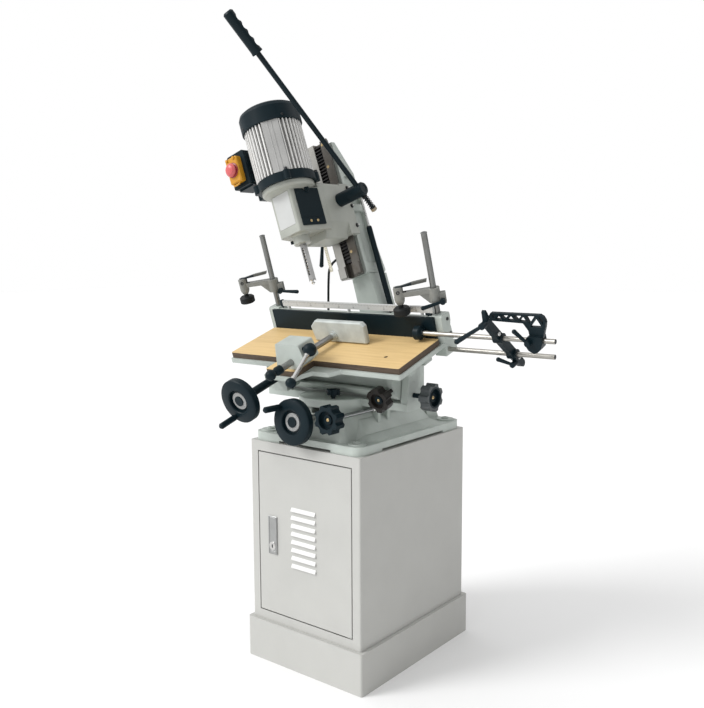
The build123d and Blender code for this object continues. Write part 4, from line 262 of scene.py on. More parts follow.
class Graph(Tree):
    """Node tree of one material, with its shader and the piece's own coordinates ready."""

    def __init__(self, name: str) -> None:
        """Starts the graph of a new material.

        Args:
            name: Name of the material.
        """
        self.material = bpy.data.materials.new(name)
        self.material.use_nodes = True
        super().__init__(self.material.node_tree)
        self.nodes.clear()
        self.shader = self.nodes.new("ShaderNodeBsdfPrincipled")
        output = self.nodes.new("ShaderNodeOutputMaterial")
        self.links.new(self.shader.outputs["BSDF"], output.inputs["Surface"])
        self.place = self.node("TexCoord", {}, "Object")

    def set(self, **values: object) -> None:
        """Fills the shader's inputs by name, underscores standing for spaces."""
        for name, value in values.items():
            self.feed(self.shader.inputs[name.replace("_", " ")], value)

    def noise(
        self, scale: float, detail: float = 3.0, rough: float = 0.55, stretch: Point = EVEN
    ) -> NodeSocket:
        """Cloudy noise over the piece.

        Args:
            scale: Grains per metre.
            detail: Octaves.
            rough: Weight of the finer octaves.
            stretch: How much the pattern is squeezed along x, y and z.

        Returns:
            The noise value, about 0 to 1.
        """
        source = self.place
        if stretch != EVEN:
            source = self.node("Mapping", {"Vector": source, "Scale": stretch}, "Vector")
        inputs = {"Vector": source, "Scale": scale, "Detail": detail, "Roughness": rough}
        return self.node("TexNoise", inputs, "Fac")

    def along(self, base: Matrix, axis: int) -> NodeSocket:
        """Distance from a frame's origin along its x, y or z, which are 0, 1 and 2, in metres."""
        away = self.vector("SUBTRACT", self.place, tuple(base.translation))
        return self.vector("DOT_PRODUCT", away, tuple(base.col[axis][:3]), "Value")

    def radius(self, base: Matrix) -> NodeSocket:
        """Distance from the z axis of a frame.

        Args:
            base: The frame.

        Returns:
            The distance in metres.
        """
        x, y = self.along(base, 0), self.along(base, 1)
        squares = self.math("ADD", self.math("MULTIPLY", x, x), self.math("MULTIPLY", y, y))
        return self.math("SQRT", squares)

    def within(self, value: NodeSocket, low: float, high: float) -> NodeSocket:
        """Mask of where a value lies between two limits.

        Args:
            value: The value in metres.
            low: Lower limit in millimetres.
            high: Upper limit in millimetres.

        Returns:
            One between the limits, zero elsewhere.
        """
        above = self.math("GREATER_THAN", value, low * MM)
        below = self.math("LESS_THAN", value, high * MM)
        return self.math("MULTIPLY", above, below)

    def rounded(self, radius: float) -> NodeSocket:
        """Normal with the edges softened by a radius in millimetres."""
        return self.node("Bevel", {"Radius": radius * MM}, "Normal", samples=4)

    def worn(self, soft: NodeSocket, low: float = 0.02, high: float = 0.2) -> NodeSocket:
        """Mask of the edges, from how far the softened normal leaves the surface's own."""
        match = self.vector("DOT_PRODUCT", soft, self.node("NewGeometry", {}, "Normal"), "Value")
        return self.span(self.math("SUBTRACT", 1.0, match), low, high, 0.0, 1.0)

    def bump(self, height: NodeSocket, depth: float, soft: NodeSocket) -> None:
        """Gives the surface a relief of a depth in millimetres, which starts from a softened normal."""
        inputs = {"Distance": depth * MM, "Height": height, "Normal": soft}
        self.set(Normal=self.node("Bump", inputs, "Normal"))


Shades = tuple[NodeSocket, NodeSocket, NodeSocket, NodeSocket]


@dataclass(frozen=True)
class Finish:
    """Finish of a surface: its colour, a second colour of wear, stains or fibres, and its roughness."""

    name: str
    color: Color
    accent: Color
    roughness: float

    metallic: ClassVar[float] = 0.0
    gloss: ClassVar[float] = 0.5
    depth: ClassVar[float] = 0.05

    def shades(self, graph: Graph) -> Shades:
        """Colour, roughness, relief and softened normal, which each kind of finish makes in its way."""
        raise NotImplementedError

    def material(self) -> Material:
        """Builds the material.

        Returns:
            A new material of this finish.
        """
        graph = Graph(self.name)
        tone, rough, relief, soft = self.shades(graph)
        graph.set(Base_Color=tone, Roughness=rough, Metallic=self.metallic, Specular_IOR_Level=self.gloss)
        graph.bump(relief, self.depth, soft)
        return graph.material


@dataclass(frozen=True)
class Coat(Finish):
    """Opaque finish of paint, moulding or rubber, with grain, cloudiness and worn edges."""

    patch_scale: ClassVar[float] = 70.0
    swing: ClassVar[float] = 0.07

    cloud: float = 0.05
    cloud_scale: float = 9.0
    grain_scale: float = 900.0
    depth: float = Finish.depth
    edge: float = 1.5
    wear: float = 0.35
    gloss: float = Finish.gloss

    def shades(self, graph: Graph) -> Shades:
        """Colour, roughness, relief and softened normal of the coat.

        Args:
            graph: The material that takes them.

        Returns:
            The four sockets, in that order.
        """
        cloud = graph.noise(self.cloud_scale, 4.0)
        grain = graph.noise(self.grain_scale, 2.0)
        dark = tuple(part * (1 - self.cloud) for part in self.color)
        light = tuple(min(1.0, part * (1 + self.cloud)) for part in self.color)
        tone = graph.mix(graph.span(cloud, 0.3, 0.7, 0.0, 1.0), dark, light)
        soft = graph.rounded(self.edge)
        patchy = graph.span(graph.noise(self.patch_scale), 0.45, 0.75, 0.0, self.wear)
        tone = graph.mix(graph.math("MULTIPLY", graph.worn(soft), patchy), tone, self.accent)
        rough = graph.span(grain, 0.2, 0.8, self.roughness - self.swing, self.roughness + self.swing)
        return tone, rough, grain, soft


class Lay(Enum):
    """Direction of a metal's machining marks."""

    ALONG_X = (0.04, 1.0, 1.0)
    ALONG_Z = (1.0, 1.0, 0.04)
    CAST = EVEN


@dataclass(frozen=True)
class Metal(Finish):
    """Bare metal with machining marks, stains and bright edges."""

    metallic: ClassVar[float] = 1.0
    depth: ClassVar[float] = 0.02
    edge: ClassVar[float] = 0.6
    cloud_scale: ClassVar[float] = 26.0
    edge_light: ClassVar[float] = 0.4
    swing: ClassVar[float] = 0.06
    stain_rough: ClassVar[float] = 0.12

    lay: Lay = Lay.CAST
    marks: float = 1600.0
    stained: float = 0.35

    def shades(self, graph: Graph) -> Shades:
        """Colour, roughness, relief and softened normal of the metal.

        Args:
            graph: The material that takes them.

        Returns:
            The four sockets, in that order.
        """
        lines = graph.noise(self.marks, 2.0, 0.6, self.lay.value)
        cloud = graph.noise(self.cloud_scale, 5.0, 0.6)
        tone = graph.mix(graph.span(cloud, 0.48, 0.8, 0.0, self.stained), self.color, self.accent)
        soft = graph.rounded(self.edge)
        bright = tuple(min(1.0, part * 1.25 + 0.05) for part in self.color)
        tone = graph.mix(graph.math("MULTIPLY", graph.worn(soft), self.edge_light), tone, bright)
        rough = graph.math(
            "ADD",
            graph.span(lines, 0.25, 0.75, self.roughness - self.swing, self.roughness + self.swing),
            graph.span(cloud, 0.45, 0.8, 0.0, self.stain_rough),
        )
        return tone, rough, lines, soft


@dataclass(frozen=True)
class Board(Finish):
    """Board of pressed wood, with fibres along x and fine specks."""

    edge: ClassVar[float] = 0.7
    speck_scale: ClassVar[float] = 1100.0
    stretch: ClassVar[Point] = (0.08, 1.0, 1.6)
    swing: ClassVar[float] = 0.06

    fibre: float = 90.0

    def shades(self, graph: Graph) -> Shades:
        """Colour, roughness, relief and softened normal of the board.

        Args:
            graph: The material that takes them.

        Returns:
            The four sockets, in that order.
        """
        fibres = graph.noise(self.fibre, 5.0, 0.65, self.stretch)
        specks = graph.noise(self.speck_scale, 2.0)
        tone = graph.mix(graph.span(fibres, 0.4, 0.72, 0.0, 0.75), self.color, self.accent)
        tone = graph.mix(graph.span(specks, 0.56, 0.72, 0.0, 0.3), tone, self.accent)
        rough = graph.span(specks, 0.2, 0.8, self.roughness - self.swing, self.roughness + self.swing)
        return tone, rough, specks, graph.rounded(self.edge)


@dataclass(frozen=True)
class Zone:
    """Part of a piece with a finish of its own, between limits along a frame's axes or about its z, in mm."""

    finish: Finish
    base: Matrix
    x: Optional[Flat] = None
    y: Optional[Flat] = None
    z: Optional[Flat] = None
    radius: Optional[Flat] = None

    def mask(self, graph: Graph) -> NodeSocket:
        """Mask of the zone, where all its limits hold.

        Args:
            graph: The material that takes it.

        Returns:
            One in the zone, zero elsewhere.
        """
        masks = [graph.within(graph.radius(self.base), *self.radius)] if self.radius else []
        for axis, limits in enumerate((self.x, self.y, self.z)):
            if limits:
                masks.append(graph.within(graph.along(self.base, axis), *limits))
        return reduce(partial(graph.math, "MULTIPLY"), masks)


@dataclass(frozen=True)
class Zoned:
    """Finish of a piece made of several things: a ground finish and zones painted over it in order."""

    name: str
    ground: Finish
    zones: tuple[Zone, ...]

    def material(self) -> Material:
        """Builds the material.

        Returns:
            A new material of this finish.
        """
        graph = Graph(self.name)
        tone, rough, relief, soft = self.ground.shades(graph)
        metal: Value = self.ground.metallic
        gloss: Value = self.ground.gloss
        mixed = any(zone.finish.metallic != metal for zone in self.zones)
        for zone in self.zones:
            finish, mask = zone.finish, zone.mask(graph)
            over = finish.shades(graph)
            tone = graph.mix(mask, tone, over[0])
            rough = graph.weigh(mask, rough, over[1])
            if gloss != finish.gloss:
                gloss = graph.weigh(mask, gloss, finish.gloss)
            if mixed:
                metal = graph.weigh(mask, metal, finish.metallic)
        graph.set(Base_Color=tone, Roughness=rough, Metallic=metal, Specular_IOR_Level=gloss)
        graph.bump(relief, Finish.depth, soft)
        return graph.material


CASTING = Coat(
    "casting_paint", (0.455, 0.50, 0.465), (0.60, 0.63, 0.60), 0.42,
    cloud=0.09, cloud_scale=16.0, grain_scale=420.0, depth=0.22, edge=2.2,
)
JAW_PAINT = Coat(
    "jaw_paint", (0.47, 0.505, 0.49), (0.60, 0.63, 0.61), 0.4,
    cloud=0.16, cloud_scale=26.0, grain_scale=420.0, depth=0.15, edge=1.6,
)
# Warmer grey paint of the head, kept darker than the other castings as painted shade.
HEAD_PAINT_AND_SHADE = Coat(
    "head_paint_and_shade", (0.385, 0.40, 0.36), (0.55, 0.56, 0.515), 0.4,
    cloud=0.1, cloud_scale=16.0, grain_scale=420.0, depth=0.2, edge=2.2,
)
ARM_PAINT = Coat(
    "arm_paint", (0.235, 0.24, 0.222), (0.36, 0.365, 0.34), 0.42,
    cloud=0.14, cloud_scale=40.0, grain_scale=420.0, depth=0.22, edge=1.6,
)
CABINET = Coat(
    "cabinet_paint", (0.492, 0.492, 0.469), (0.60, 0.598, 0.572), 0.5, cloud=0.025, grain_scale=1500.0
)
# Painted highlight: the door's louvres lighter than its paint, for light catching their sloped faces.
LOUVRE_HIGHLIGHT = Coat(
    "louvre_painted_highlight", (0.76, 0.76, 0.745), (0.84, 0.84, 0.83), 0.42, cloud=0.03, grain_scale=1500.0
)
MOULDING = Coat(
    "black_moulding", (0.0055, 0.0145, 0.0195), (0.03, 0.045, 0.053), 0.4,
    cloud=0.15, grain_scale=1300.0, edge=1.0, gloss=0.15,
)
BLACK_PAINT = Coat(
    "black_paint", (0.0062, 0.0148, 0.0195), (0.05, 0.065, 0.074), 0.36,
    cloud=0.15, grain_scale=700.0, depth=0.06, edge=0.8, gloss=0.15,
)
KNOB_BROWN = Coat(
    "brown_black_moulding", (0.0125, 0.0108, 0.0092), (0.045, 0.039, 0.034), 0.4,
    cloud=0.15, edge=1.0, gloss=0.26,
)
# Painted highlight: grey over the tilt knob's outer part, for reflections on its black moulding.
RIM_HIGHLIGHT = Coat("knob_rim_highlight", (0.055, 0.064, 0.067), (0.14, 0.15, 0.155), 0.42, cloud=0.2, edge=1.0)
# Painted reflection: olive grey on the cam levers' paddles, for the sheen on their black paint.
PADDLE_SHEEN = Coat("paddle_painted_sheen", (0.075, 0.078, 0.068), (0.20, 0.20, 0.175), 0.34, cloud=0.2, edge=0.8)
RUBBER = Coat(
    "lead_rubber", (0.009, 0.011, 0.012), (0.04, 0.04, 0.04), 0.55,
    grain_scale=1500.0, depth=0.03, edge=0.5, gloss=0.25,
)
# Black ink for printed marks, also laid as painted shade for the keyhole, the holes in the posts and the fan
# vents.
INK_AND_SHADE = Coat("black_ink_and_shade", (0.014, 0.015, 0.017), (0.05, 0.05, 0.05), 0.5, cloud=0.2, depth=0.01, edge=0.1)
YELLOW = Coat(
    "yellow_moulding", (0.66, 0.315, 0.018), (0.78, 0.47, 0.11), 0.35, cloud=0.1, depth=0.03, edge=0.8
)
RED = Coat("red_moulding", (0.68, 0.13, 0.135), (0.80, 0.36, 0.36), 0.3, cloud=0.1, depth=0.02, edge=0.8)
DARK_RED = Coat(
    "dark_red_moulding", (0.32, 0.028, 0.034), (0.5, 0.12, 0.12), 0.35, cloud=0.1, depth=0.02, edge=0.8
)
LIGHT_PLATE = Coat(
    "light_plate", (0.36, 0.365, 0.36), (0.5, 0.505, 0.5), 0.4, cloud=0.06, depth=0.02, edge=0.4
)
SCALE_WHITE = Coat("scale_white", (0.54, 0.55, 0.54), (0.66, 0.67, 0.65), 0.42, depth=0.02, edge=0.4)
SCALE_CREAM = Coat("scale_cream", (0.78, 0.74, 0.60), (0.85, 0.82, 0.7), 0.42, depth=0.02, edge=0.3)
ALUMINIUM = Coat(
    "motor_aluminium", (0.86, 0.855, 0.835), (0.93, 0.93, 0.92), 0.3,
    cloud=0.08, grain_scale=1200.0, depth=0.04, edge=0.8, wear=0.6, gloss=0.8,
)
# Painted shade: darker grey laid in the motor's fin grooves, where shade falls between the fins.
GROOVE_SHADE = Coat("motor_groove_shade", (0.27, 0.268, 0.26), (0.4, 0.4, 0.39), 0.45, cloud=0.2)
PANEL_GREY = Coat("motor_panel", (0.43, 0.43, 0.42), (0.6, 0.6, 0.59), 0.4, cloud=0.12)
BOARD_TOP = Board("tan_board", (0.78, 0.555, 0.26), (0.62, 0.42, 0.18), 0.5)
BOARD_EDGE = Board("board_edge", (0.055, 0.036, 0.022), (0.15, 0.105, 0.07), 0.6, fibre=300.0)
STEEL = Metal("ground_steel", (0.36, 0.36, 0.355), (0.22, 0.21, 0.2), 0.3, Lay.ALONG_Z)
BRIGHT_STEEL = Metal("bright_steel", (0.70, 0.70, 0.69), (0.5, 0.49, 0.47), 0.25, Lay.ALONG_Z, stained=0.2)
POST_STEEL = Metal(
    "post_steel", (0.22, 0.225, 0.218), (0.135, 0.13, 0.12), 0.34, Lay.ALONG_Z, marks=900.0, stained=0.6
)
ROD_STEEL = Metal("vise_rod_steel", (0.33, 0.325, 0.32), (0.2, 0.19, 0.18), 0.3, stained=0.4)
CHROME = Metal("chromed_rod", (0.62, 0.615, 0.60), (0.46, 0.44, 0.41), 0.2, Lay.ALONG_X, stained=0.25)
GUIDE_STEEL = Metal("guide_steel", (0.44, 0.425, 0.39), (0.29, 0.27, 0.235), 0.37, Lay.ALONG_X)
LOCK_STEEL = Metal("lock_rod_steel", (0.34, 0.345, 0.35), (0.22, 0.22, 0.22), 0.17, stained=0.3)
PLATE_METAL = Metal("lock_plate_metal", (0.40, 0.405, 0.40), (0.24, 0.245, 0.24), 0.38, Lay.ALONG_Z)
BRASS = Metal("brass", (0.66, 0.50, 0.26), (0.45, 0.33, 0.18), 0.3)
ZINC = Metal("zinc_nut", (0.50, 0.44, 0.35), (0.34, 0.29, 0.22), 0.38)
WAY_STEEL = Metal("way_steel", (0.17, 0.16, 0.145), (0.12, 0.095, 0.065), 0.4, Lay.ALONG_X, stained=0.7)
WAY_BRIGHT = Metal("way_bright", (0.42, 0.415, 0.39), (0.26, 0.24, 0.2), 0.32, Lay.ALONG_X)
RACK_STEEL = Metal("rack_steel", (0.055, 0.055, 0.056), (0.14, 0.12, 0.1), 0.4)
DARK_STEEL = Metal("dark_steel", (0.05, 0.052, 0.056), (0.12, 0.11, 0.10), 0.36)

Look = Union[Finish, Zoned, Material]


def material_of(look: Look) -> Material:
    """Material of a finish, or the material itself where it is made already."""
    return look if isinstance(look, Material) else look.material()


def dress(look: Look, *names: str) -> None:
    """Gives solids of the frame their finish.

    Args:
        look: The finish, or a material already made from one.
        names: Names of the solids.
    """
    material = material_of(look)
    for name in names:
        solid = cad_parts[name]
        solid.data.materials.clear()
        solid.data.materials.append(material)
        LOG.info("dressed %s with %s", name, material.name)


class Shape:
    """Gathers the faces of one piece, in a frame's millimetres, and turns them into an object."""

    SHARP = 35.0
    WELD = 1e-6
    CROSS_ARM = radians(16)
    CROSS_NECK = 0.36
    EASE_REACH = 1.4

    def __init__(self, name: str) -> None:
        """Starts an empty shape for the piece of that name."""
        self.name = name
        self.mesh = bmesh.new()

    def turn(self, base: Matrix, profile: Profile, steps: int = 32) -> "Shape":
        """Adds a turned form about a frame's z axis.

        Args:
            base: The frame.
            profile: Radius and height of each ring, from the bottom; a zero radius closes an end. A third
                item makes the ring a polygon of that many sides, or a cross where it is negative.
            steps: Faces around.

        Returns:
            The shape itself.
        """
        rings = []
        for radius, height, *sides in profile:
            if radius == 0:
                rings.append([self.mesh.verts.new(base @ Vector((0, 0, height * MM)))])
                continue
            ring = []
            for step in range(steps):
                angle = tau * step / steps
                far = radius * self.reach(angle, sides[0]) if sides else radius
                place = Vector((far * cos(angle), far * sin(angle), height)) * MM
                ring.append(self.mesh.verts.new(base @ place))
            rings.append(ring)
        for low, high in zip(rings, rings[1:]):
            for step in range(steps):
                after = (step + 1) % steps
                corners = [low[step % len(low)], low[after % len(low)]]
                corners += [high[after % len(high)], high[step % len(high)]]
                unique = list(dict.fromkeys(corners))
                if len(unique) > 2:
                    self.mesh.faces.new(unique)
        return self

    @classmethod
    def reach(cls, angle: float, sides: float) -> float:
        """Share of its radius that a polygon or cross reaches at an angle.

        Args:
            angle: The angle in radians.
            sides: Number of sides, or of arms where it is negative.

        Returns:
            The share, up to one.
        """
        part = tau / abs(sides)
        within = angle % part
        if sides < 0:
            return 1.0 if min(within, part - within) < cls.CROSS_ARM else cls.CROSS_NECK
        return cos(part / 2) / cos(within - part / 2)

    def ring(self, base: Matrix, outline: Sequence[Flat], height: float) -> list[bmesh.types.BMVert]:
        """Adds the corners of an outline at a height of a frame."""
        return [self.mesh.verts.new(base @ (Vector((x, y, height)) * MM)) for x, y in outline]

    def skin(self, rings: Sequence[Sequence[bmesh.types.BMVert]]) -> None:
        """Joins rings by faces.

        Args:
            rings: The rings in order, all of as many corners.
        """
        for low, high in zip(rings, rings[1:]):
            count = len(low)
            for i in range(count):
                after = (i + 1) % count
                self.mesh.faces.new((low[i], low[after], high[after], high[i]))

    def close(self, rings: Sequence[Sequence[bmesh.types.BMVert]]) -> "Shape":
        """Joins rings by faces and closes the first and the last.

        Args:
            rings: The rings in order, all of as many corners.

        Returns:
            The shape itself.
        """
        self.skin(rings)
        self.mesh.faces.new(list(reversed(rings[0])))
        self.mesh.faces.new(list(rings[-1]))
        return self

    def band(
        self, base: Matrix, outer: Sequence[Flat], inner: Sequence[Flat], low: float, high: float
    ) -> "Shape":
        """Adds a closed band between two outlines of as many corners, in a frame's x and y.

        Args:
            base: The frame.
            outer: Corners of its outside.
            inner: Corners of its inside.
            low: Height of the lower face.
            high: Height of the upper face.

        Returns:
            The shape itself.
        """
        loops = ((outer, low), (outer, high), (inner, high), (inner, low))
        rings = [self.ring(base, outline, height) for outline, height in loops]
        self.skin([*rings, rings[0]])
        return self

    def twist(
        self, base: Matrix, outline: Sequence[Flat], low: float, high: float, pitch: float, levels: int
    ) -> "Shape":
        """Adds a bar of one section that turns as it rises.

        Args:
            base: The frame; the bar rises along its z.
            outline: Corners of the section, counter-clockwise.
            low: Height where it starts.
            high: Height where it ends.
            pitch: Rise of one full turn.
            levels: Number of steps.

        Returns:
            The shape itself.
        """
        rings = []
        for level in range(levels + 1):
            height = low + (high - low) * level / levels
            spin = base @ Matrix.Rotation(tau * (height - low) / pitch, 4, "Z")
            rings.append(self.ring(spin, outline, height))
        return self.close(rings)

    def slab(
        self, base: Matrix, outline: Sequence[Flat], low: float, high: float, ease: float = 0.0
    ) -> "Shape":
        """Adds a flat piece with its outline in a frame's x and y.

        Args:
            base: The frame.
            outline: Corners of the outline, counter-clockwise.
            low: Height of the bottom face.
            high: Height of the top face.
            ease: How far the top edge is eased in.

        Returns:
            The shape itself.
        """
        middle = Vector((sum(x for x, _ in outline), sum(y for _, y in outline))) / len(outline)
        levels = [(low, 0.0), (high, 0.0)] if not ease else [(low, 0.0), (high - ease, 0.0), (high, ease)]
        rings = []
        for height, inset in levels:
            corners = [Vector(corner) for corner in outline]
            eased = [
                corner - (corner - middle).normalized() * inset * self.EASE_REACH for corner in corners
            ]
            rings.append(self.ring(base, eased, height))
        return self.close(rings)

    def pipe(self, points: Sequence[Vector], radius: float, sides: int = 12) -> "Shape":
        """Adds a round bar along points.

        Args:
            points: The middle line, in metres in the shared frame.
            radius: Radius in millimetres.
            sides: Faces around.

        Returns:
            The shape itself.
        """
        side = (points[1] - points[0]).normalized().orthogonal().normalized()
        angles = [tau * step / sides for step in range(sides)]
        rings = []
        for i, point in enumerate(points):
            way = (points[min(i + 1, len(points) - 1)] - points[max(i - 1, 0)]).normalized()
            side = (side - way * side.dot(way)).normalized()
            other = way.cross(side)
            around = [(side * cos(angle) + other * sin(angle)) * radius * MM for angle in angles]
            rings.append([self.mesh.verts.new(point + away) for away in around])
        return self.close(rings)

    def figures(self, base: Matrix, words: str, size: float, raised: float) -> "Shape":
        """Adds raised figures, centred on a frame's origin.

        Args:
            base: The frame; the figures face along its z.
            words: The digits.
            size: Their height in millimetres.
            raised: How far they stand out.

        Returns:
            The shape itself.
        """
        data = bpy.data.curves.new("figures", "FONT")
        data.body = words
        data.size = size * MM
        data.align_x = "CENTER"
        data.align_y = "CENTER"
        data.resolution_u = 2
        data.extrude = raised * MM / 2
        mesh = read_curve(data)
        mesh.transform(shifted(base, 0, 0, raised / 2))
        self.mesh.from_mesh(mesh)
        bpy.data.meshes.remove(mesh)
        return self

    def object(self, material: Material, smooth: float = SHARP) -> Object:
        """Turns the shape into an object of the scene.

        Args:
            material: Its material.
            smooth: Edges sharper than this many degrees stay sharp.

        Returns:
            The object, riding on nothing yet.
        """
        bmesh.ops.remove_doubles(self.mesh, verts=self.mesh.verts[:], dist=self.WELD)
        bmesh.ops.recalc_face_normals(self.mesh, faces=self.mesh.faces[:])
        data = bpy.data.meshes.new(self.name)
        self.mesh.to_mesh(data)
        self.mesh.free()
        data.materials.append(material)
        data.shade_smooth()
        data.set_sharp_from_angle(angle=radians(smooth))
        return added(self.name, data)

    def ride(self, body: str, look: Look, slot: str, smooth: float = SHARP) -> Object:
        """Turns the shape into an object that rides on a body.

        Args:
            body: Name of the body.
            look: Its finish, or a material already made from one.
            slot: The record's material slot, which is not used.
            smooth: Edges sharper than this many degrees stay sharp.

        Returns:
            The object.
        """
        made = self.object(material_of(look), smooth)
        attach(made, body)
        LOG.info("built %s on %s", self.name, body)
        return made


class Head(Enum):
    """Form of a screw's head: radius and height of its rings as shares of the head's own."""

    SOCKET = ((0, 0), (1, 0), (1, 0.85), (0.92, 1), (0.58, 1, 6), (0.55, 0.4, 6), (0, 0.4))
    HEX = ((0, 0), (1.4, 0), (1.4, 0.14), (1.04, 0.16, 6), (1.04, 0.88, 6), (0.86, 1), (0, 1))
    CROSS = ((0, 0), (1, 0), (0.97, 0.45), (0.74, 0.88), (0.55, 1), (0.5, 1, -4), (0.42, 0.4, -4), (0, 0.4))
    RING = ((0, 0), (1, 0), (1, 0.7), (0.84, 1), (0.5, 1), (0.46, 0.25), (0, 0.25))

    def add(self, shape: Shape, base: Matrix, radius: float, height: float) -> Shape:
        """Adds the head, in millimetres, to a shape, standing on a frame's origin along its z."""
        rings = [(share * radius, rise * height, *sides) for share, rise, *sides in self.value]
        return shape.turn(base, rings, 24)


@dataclass
class Studio:
    """Camera of the photograph's view, pale floor and soft light."""

    eye: Point = (1.4431, -1.8403, 1.0988)
    azimuth: float = 38.63
    dip: float = 6.85
    roll: float = -0.30
    lens: float = 44.07
    sensor: float = 36.0
    sight: float = 200.0
    floor_size: float = 40.0
    floor_color: Color = (0.95, 0.95, 0.95)
    floor_shade: float = 0.985
    dome_level: float = 0.45
    dome_lean: Point = (-0.30, -0.26, 0.5)
    dome_least: float = 0.08
    dome_most: float = 2.0
    lights: tuple[tuple[str, Point, float, float], ...] = (
        ("key", (-0.5, -0.72, 0.6), 1.7, 24.0),
        ("back", (0.5, 0.8, 0.7), 0.35, 40.0),
    )

    def camera(self) -> None:
        """Sets up the camera."""
        data = bpy.data.cameras.new("photo_camera")
        data.lens = self.lens
        data.sensor_width = self.sensor
        data.clip_end = self.sight
        made = added("photo_camera", data)
        turn = turned(turned(turned(WORLD, "Z", self.azimuth), "X", 90 - self.dip), "Z", self.roll)
        made.matrix_world = Matrix.Translation(self.eye) @ turn
        bpy.context.scene.camera = made

    def floor(self) -> None:
        """Lays the pale floor."""
        graph = Graph("pale_floor")
        shade = tuple(part * self.floor_shade for part in self.floor_color)
        tone = graph.mix(graph.noise(0.8, 2.0), shade, self.floor_color)
        graph.set(Base_Color=tone, Roughness=0.7, Specular_IOR_Level=0.2)
        half = self.floor_size / 2
        data = bpy.data.meshes.new("floor")
        data.from_pydata([(x, y, 0) for x, y in rect(-half, half, -half, half)], [], [(0, 1, 2, 3)])
        data.materials.append(graph.material)
        added("floor", data)

    def sun(self, name: str, toward: Point, strength: float, spread: float) -> None:
        """Hangs one far soft light.

        Args:
            name: Name of the light.
            toward: Direction that it comes from.
            strength: Its strength.
            spread: Angle of its disc in degrees, which softens the shadows.
        """
        data = bpy.data.lights.new(name, "SUN")
        data.energy = strength
        data.angle = radians(spread)
        added(name, data).rotation_euler = Vector(toward).to_track_quat("Z", "Y").to_euler()

    def dome(self) -> None:
        """Soft dome, brightest above and to the left front, white where the camera looks past the part."""
        world = bpy.data.worlds.new("studio")
        world.use_nodes = True
        tree = Tree(world.node_tree)
        lean = tree.vector("DOT_PRODUCT", tree.node("TexCoord", {}, "Generated"), self.dome_lean, "Value")
        level = tree.math("ADD", lean, self.dome_level)
        ends = {"Min": self.dome_least, "Max": self.dome_most}
        held = tree.node("Clamp", {"Value": level, **ends}, "Result")
        seen = tree.node("LightPath", {}, "Is Camera Ray")
        background = tree.nodes["Background"]
        tree.feed(background.inputs["Strength"], 1.0)
        tree.feed(background.inputs["Color"], tree.mix(seen, held, (1.0, 1.0, 1.0)))
        bpy.context.scene.world = world

    def build(self) -> None:
        """Sets up camera, floor, dome and lights."""
        self.camera()
        self.floor()
        self.dome()
        for light in self.lights:
            self.sun(*light)
        bpy.context.scene.view_settings.view_transform = "Standard"
        LOG.info("built studio")


